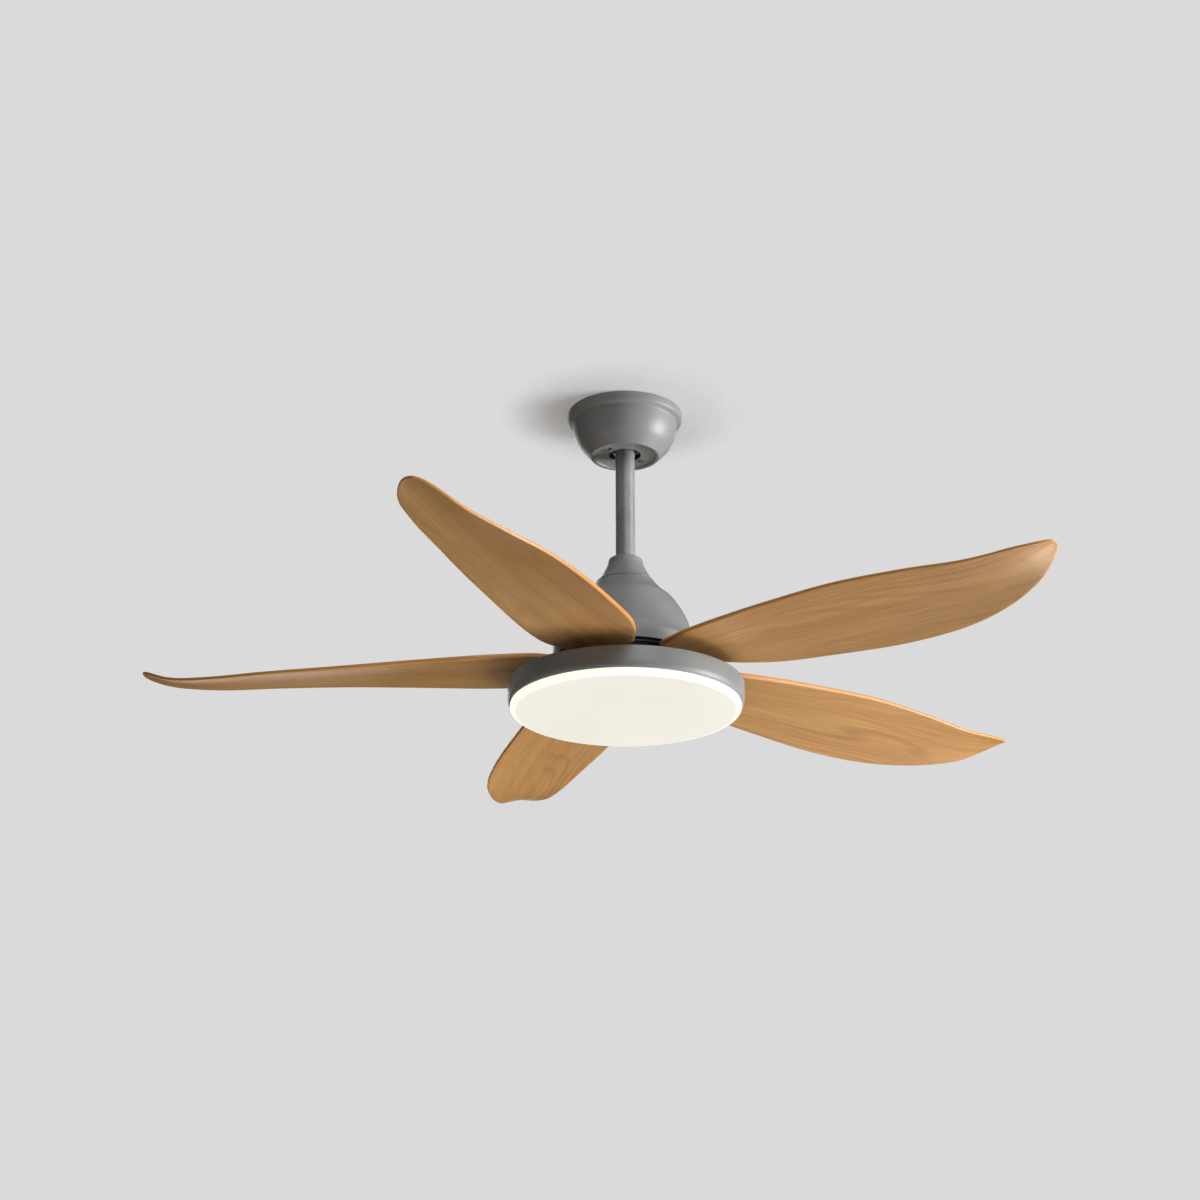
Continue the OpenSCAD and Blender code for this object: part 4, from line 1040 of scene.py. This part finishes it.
@dataclass
class LightKit:
    """Light ring, its plate and screws, the lamp board and the opal diffuser."""

    wall: float = 1.4
    hole: float = 40.0
    lip_round: float = 10.0
    diffuser_wall: float = 2.0
    face_round: float = 7.0
    lug_angle: float = 9.0
    lugs: int = 4
    finishes: dict[str, Any] = field(default_factory=lambda: {
        "light_mount_plate": BLACK_PAINT, "ring_screws": BRIGHT,
        "diffuser_clips": BRIGHT, "led_board": LAMP_BOARD,
        "led_chips": PHOSPHOR, "led_driver": WHITE_PLASTIC, "light_leads": SLEEVE,
    })

    def __post_init__(self) -> None:
        """Takes heights and radii from the frame."""
        low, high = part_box("light_ring")
        face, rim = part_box("diffuser")
        self.ring_foot, self.ring_top, self.ring_radius = low[2] / MM, high[2] / MM, high[0] / MM
        self.face, self.diffuser_top = face[2] / MM, rim[2] / MM
        self.lip = self.ring_radius - 4.2

    def ring_profile(self) -> list[Point]:
        """Returns the light ring's closed section."""
        r, foot, top = self.ring_radius, self.ring_foot, self.ring_top
        reach = r - self.lip
        outer = [
            (self.hole, top), *arc((r - 2, top - 2), 2, 90, 0, 8),
            *arc((self.lip, foot + self.lip_round), reach, 0, -90, 20, self.lip_round / reach),
        ]
        less = reach - self.wall
        inner = [
            *arc((self.lip, foot + self.lip_round), less, -90, 0, 14, (self.lip_round - self.wall) / less),
            (r - self.wall, top - 2 - self.wall), (r - 2 - self.wall, top - self.wall),
            (self.hole, top - self.wall),
        ]
        return [*outer, *inner]

    def diffuser_profile(self) -> list[Point]:
        """Returns the diffuser's closed section: flat face, rounded edge and the neck inside the lip."""
        bulge, neck = self.lip + 0.4, self.lip - 2.8
        shoulder = self.ring_foot - 1.0
        crown = [(0.0, self.face), (bulge * 0.5, self.face), (bulge - self.face_round - 12, self.face)]
        edge = arc((bulge - self.face_round, self.face + self.face_round), self.face_round, -90, -4, 20)
        top = self.diffuser_top
        rim = [
            (bulge - 0.2, shoulder - 0.15), (bulge - 0.7, shoulder), (neck, shoulder),
            (neck, top - 0.4), (neck - 0.4, top),
        ]
        wall = self.diffuser_wall
        inside = [(neck - wall + 0.3, top), (neck - wall, top - 0.4)]
        inside += arc((neck - wall - 4, self.face + wall + 4), 4, 0, -90, 10)
        return [*crown, *edge, *rim, *inside, (0.0, self.face + wall)]

    def lug(self, turn: float) -> bpy.types.Object:
        """Returns one bayonet lug of the diffuser at an angle in degrees."""
        neck = self.lip - 3.8
        high = self.diffuser_top - 0.8
        inner, outer = neck, self.lip - 0.4
        turns = [math.radians(turn - self.lug_angle / 2 + self.lug_angle * i / 8) for i in range(9)]
        outline = [(outer * math.cos(t), outer * math.sin(t)) for t in turns]
        outline += [(inner * math.cos(t), inner * math.sin(t)) for t in reversed(turns)]
        return prism("lug", outline, high - 2.0, high)

    def build(self) -> tuple[bpy.types.Object, bpy.types.Object]:
        """Builds the ring and the diffuser with its lugs."""
        ring = lathe("light_ring_shell", self.ring_profile(), steps=WIDE_TURN_STEPS)
        dish = lathe("diffuser_dish", self.diffuser_profile(), steps=WIDE_TURN_STEPS)
        lugs = [self.lug(i * 360 / self.lugs) for i in range(self.lugs)]
        return ring, join("diffuser_shell", [dish, *lugs])

    def dress(self) -> None:
        """Builds and finishes the light's pieces."""
        ring, diffuser = self.build()
        settle(ring, Body.FAN, Slot.PAINT, GREY_PAINT, "light_ring")
        lit = OpalFinish(
            "lit opal", srgb(206, 202, 190), srgb(255, 255, 232),
            (self.lip - 9) * MM, (self.lip - 2.0) * MM, 1.0,
        )
        settle(diffuser, Body.COVER, Slot.OPAL, lit, "diffuser")
        for node, finish in self.finishes.items():
            dress_node(node, finish)


# --- stage -----------------------------------------------------------------------------------------------


@dataclass(frozen=True)
class Lamp:
    """A soft square light: its place and side in metres, and its power in watts."""

    name: str
    place: tuple[float, float, float]
    size: float
    power: float


@dataclass
class Studio:
    """Camera, soft lights, a pale floor and the patch of ceiling that the fan hangs from."""

    lens: float = 73.2
    tilt: float = 21.24
    side: float = -0.0350
    away: float = -3.1147
    below_ring: float = 1.0574
    backdrop: Colour = srgb(218, 218, 218)
    ceiling_radius: float = 0.2
    fade_start: float = 0.09
    fade_end: float = 0.185
    patch_weight: float = 0.74
    floor_tone: Colour = (0.62, 0.62, 0.62)
    lit_point: tuple[float, float, float] = (0.0, 0.0, -0.33)
    lamps: tuple[Lamp, ...] = (
        Lamp("key", (4.9, -0.5, -1.25), 2.0, 305.0),
        Lamp("front", (0.6, -3.0, 1.4), 1.6, 36.0),
        Lamp("above", (0.0, -0.3, 2.0), 2.5, 18.0),
        Lamp("upper right", (2.5, -0.5, 0.9), 1.2, 24.0),
        Lamp("under right", (1.4, 0.7, -2.2), 1.2, 22.0),
        Lamp("side", (3.2, 0.3, -0.2), 1.4, 10.0),
        Lamp("under left", (-1.6, -1.2, -2.2), 1.6, 8.0),
        Lamp("back", (-0.8, 3.2, 0.9), 2.0, 45.0),
    )
    floor_depth: float = 2.6

    def camera(self) -> None:
        """Places the camera below the fan, looking up at it."""
        data = bpy.data.cameras.new("camera")
        data.lens, data.sensor_width = self.lens, 36.0
        camera = bpy.data.objects.new("camera", data)
        bpy.context.scene.collection.objects.link(camera)
        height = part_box("light_ring")[0][2] - self.below_ring
        camera.location = (self.side, self.away, height)
        camera.rotation_euler = (math.radians(90 + self.tilt), 0, 0)
        bpy.context.scene.camera = camera

    def hang(self, lamp: Lamp) -> None:
        """Adds a soft square light that points at the fan's middle.

        Args:
            lamp: The lamp's name, place, size and power.
        """
        data = bpy.data.lights.new(lamp.name, "AREA")
        data.size, data.energy = lamp.size, lamp.power
        light = bpy.data.objects.new(lamp.name, data)
        light.visible_camera = False
        light.location = lamp.place
        towards = Vector(self.lit_point) - Vector(lamp.place)
        light.rotation_euler = towards.to_track_quat("-Z", "Y").to_euler()
        bpy.context.scene.collection.objects.link(light)

    def disc(self, name: str, radius: float, height: float, down: bool) -> bpy.types.Object:
        """Returns a flat disc, made of rings, that faces down or up."""
        steps, rings = 96, 12
        verts = [(0.0, 0.0, height)]
        for i in range(1, rings + 1):
            r = radius * i / rings
            turns = [math.tau * k / steps for k in range(steps)]
            verts += [(r * math.cos(turn), r * math.sin(turn), height) for turn in turns]
        faces = [[0, 1 + k, 1 + (k + 1) % steps] for k in range(steps)]
        for i in range(rings - 1):
            a, b = 1 + i * steps, 1 + (i + 1) * steps
            faces += [[a + k, b + k, b + (k + 1) % steps, a + (k + 1) % steps] for k in range(steps)]
        if down:
            faces = [face[::-1] for face in faces]
        return new_object(name, verts, faces)

    def ceiling_material(self) -> bpy.types.Material:
        """Returns plaster that fades out with distance and is clear from above."""
        material, graph, shader = new_material("ceiling plaster")
        place = graph.add("ShaderNodeTexCoord").outputs["Object"]
        radius = graph.add("ShaderNodeVectorMath", {0: place}, operation="LENGTH").outputs["Value"]
        fade = graph.span(radius, self.fade_start, self.fade_end, 1.0, 0.0)
        behind = graph.add("ShaderNodeNewGeometry").outputs["Backfacing"]
        clear = graph.math("SUBTRACT", 1.0, behind)
        seen = graph.math("MULTIPLY", fade, self.patch_weight)
        graph.feed(shader.inputs["Alpha"], graph.math("MULTIPLY", seen, clear))
        mottle = place_group(graph, mottle_group(), cloud_scale=3.0, texture_scale=300.0)
        plaster = graph.mix(mottle.outputs["Value"], (0.715, 0.725, 0.735), (0.725, 0.735, 0.745))
        graph.feed(shader.inputs["Base Color"], plaster)
        shader.inputs["Roughness"].default_value = 0.9
        shader.inputs["Specular IOR Level"].default_value = 0.0
        return material

    def build(self) -> None:
        """Builds the stage round the fan."""
        self.camera()
        ceiling = self.disc("ceiling_patch", self.ceiling_radius, 0.0005, True)
        ceiling.data.materials.append(self.ceiling_material())
        floor = self.disc("pale_floor", 9.0, -self.floor_depth, False)
        paint, graph, shader = new_material("pale floor")
        mottle = place_group(graph, mottle_group(), cloud_scale=1.0, texture_scale=200.0)
        tone = graph.mix(mottle.outputs["Value"], (0.66, 0.66, 0.66), (0.68, 0.68, 0.68))
        graph.feed(shader.inputs["Base Color"], tone)
        shader.inputs["Roughness"].default_value = 0.8
        even = graph.add("ShaderNodeEmission", {"Color": self.floor_tone, "Strength": 1.0}).outputs[0]
        direct = graph.add("ShaderNodeLightPath").outputs["Is Camera Ray"]
        output = next(node for node in paint.node_tree.nodes if node.type == "OUTPUT_MATERIAL")
        shown = graph.add("ShaderNodeMixShader", {0: direct, 1: shader.outputs[0], 2: even}).outputs[0]
        graph.feed(output.inputs["Surface"], shown)
        floor.data.materials.append(paint)
        self.light()
        self.world()
        bpy.context.scene.view_settings.view_transform = "Standard"
        LOG.info("stage: camera, lights, floor and ceiling patch")

    def light(self) -> None:
        """Hangs every lamp."""
        for lamp in self.lamps:
            self.hang(lamp)

    def world(self) -> None:
        """Sets an even pale backdrop, which lights the fan only weakly."""
        world = bpy.data.worlds.new("studio")
        world.use_nodes = True
        world.node_tree.nodes.clear()
        graph = Graph(world.node_tree)
        seen = graph.add("ShaderNodeBackground", {"Color": self.backdrop, "Strength": 1.0})
        around = graph.add("ShaderNodeBackground", {"Color": (0.9, 0.95, 1.0), "Strength": 0.012})
        direct = graph.add("ShaderNodeLightPath").outputs["Is Camera Ray"]
        both = graph.add("ShaderNodeMixShader", {0: direct, 1: around.outputs[0], 2: seen.outputs[0]})
        graph.add("ShaderNodeOutputWorld", {"Surface": both.outputs[0]})
        bpy.context.scene.world = world


def main() -> None:
    """Builds the stage and every sub-assembly, in order."""
    logging.basicConfig(level=logging.INFO, format="%(name)s %(message)s")
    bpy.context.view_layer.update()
    Studio().build()
    assemblies: list[Any] = [CeilingMount(), Hanger(), MotorCovers(), Motor(), BladeSet(), LightKit()]
    for assembly in assemblies:
        assembly.dress()
        LOG.info("%s done", type(assembly).__name__)


if __name__ == "__main__":
    main()
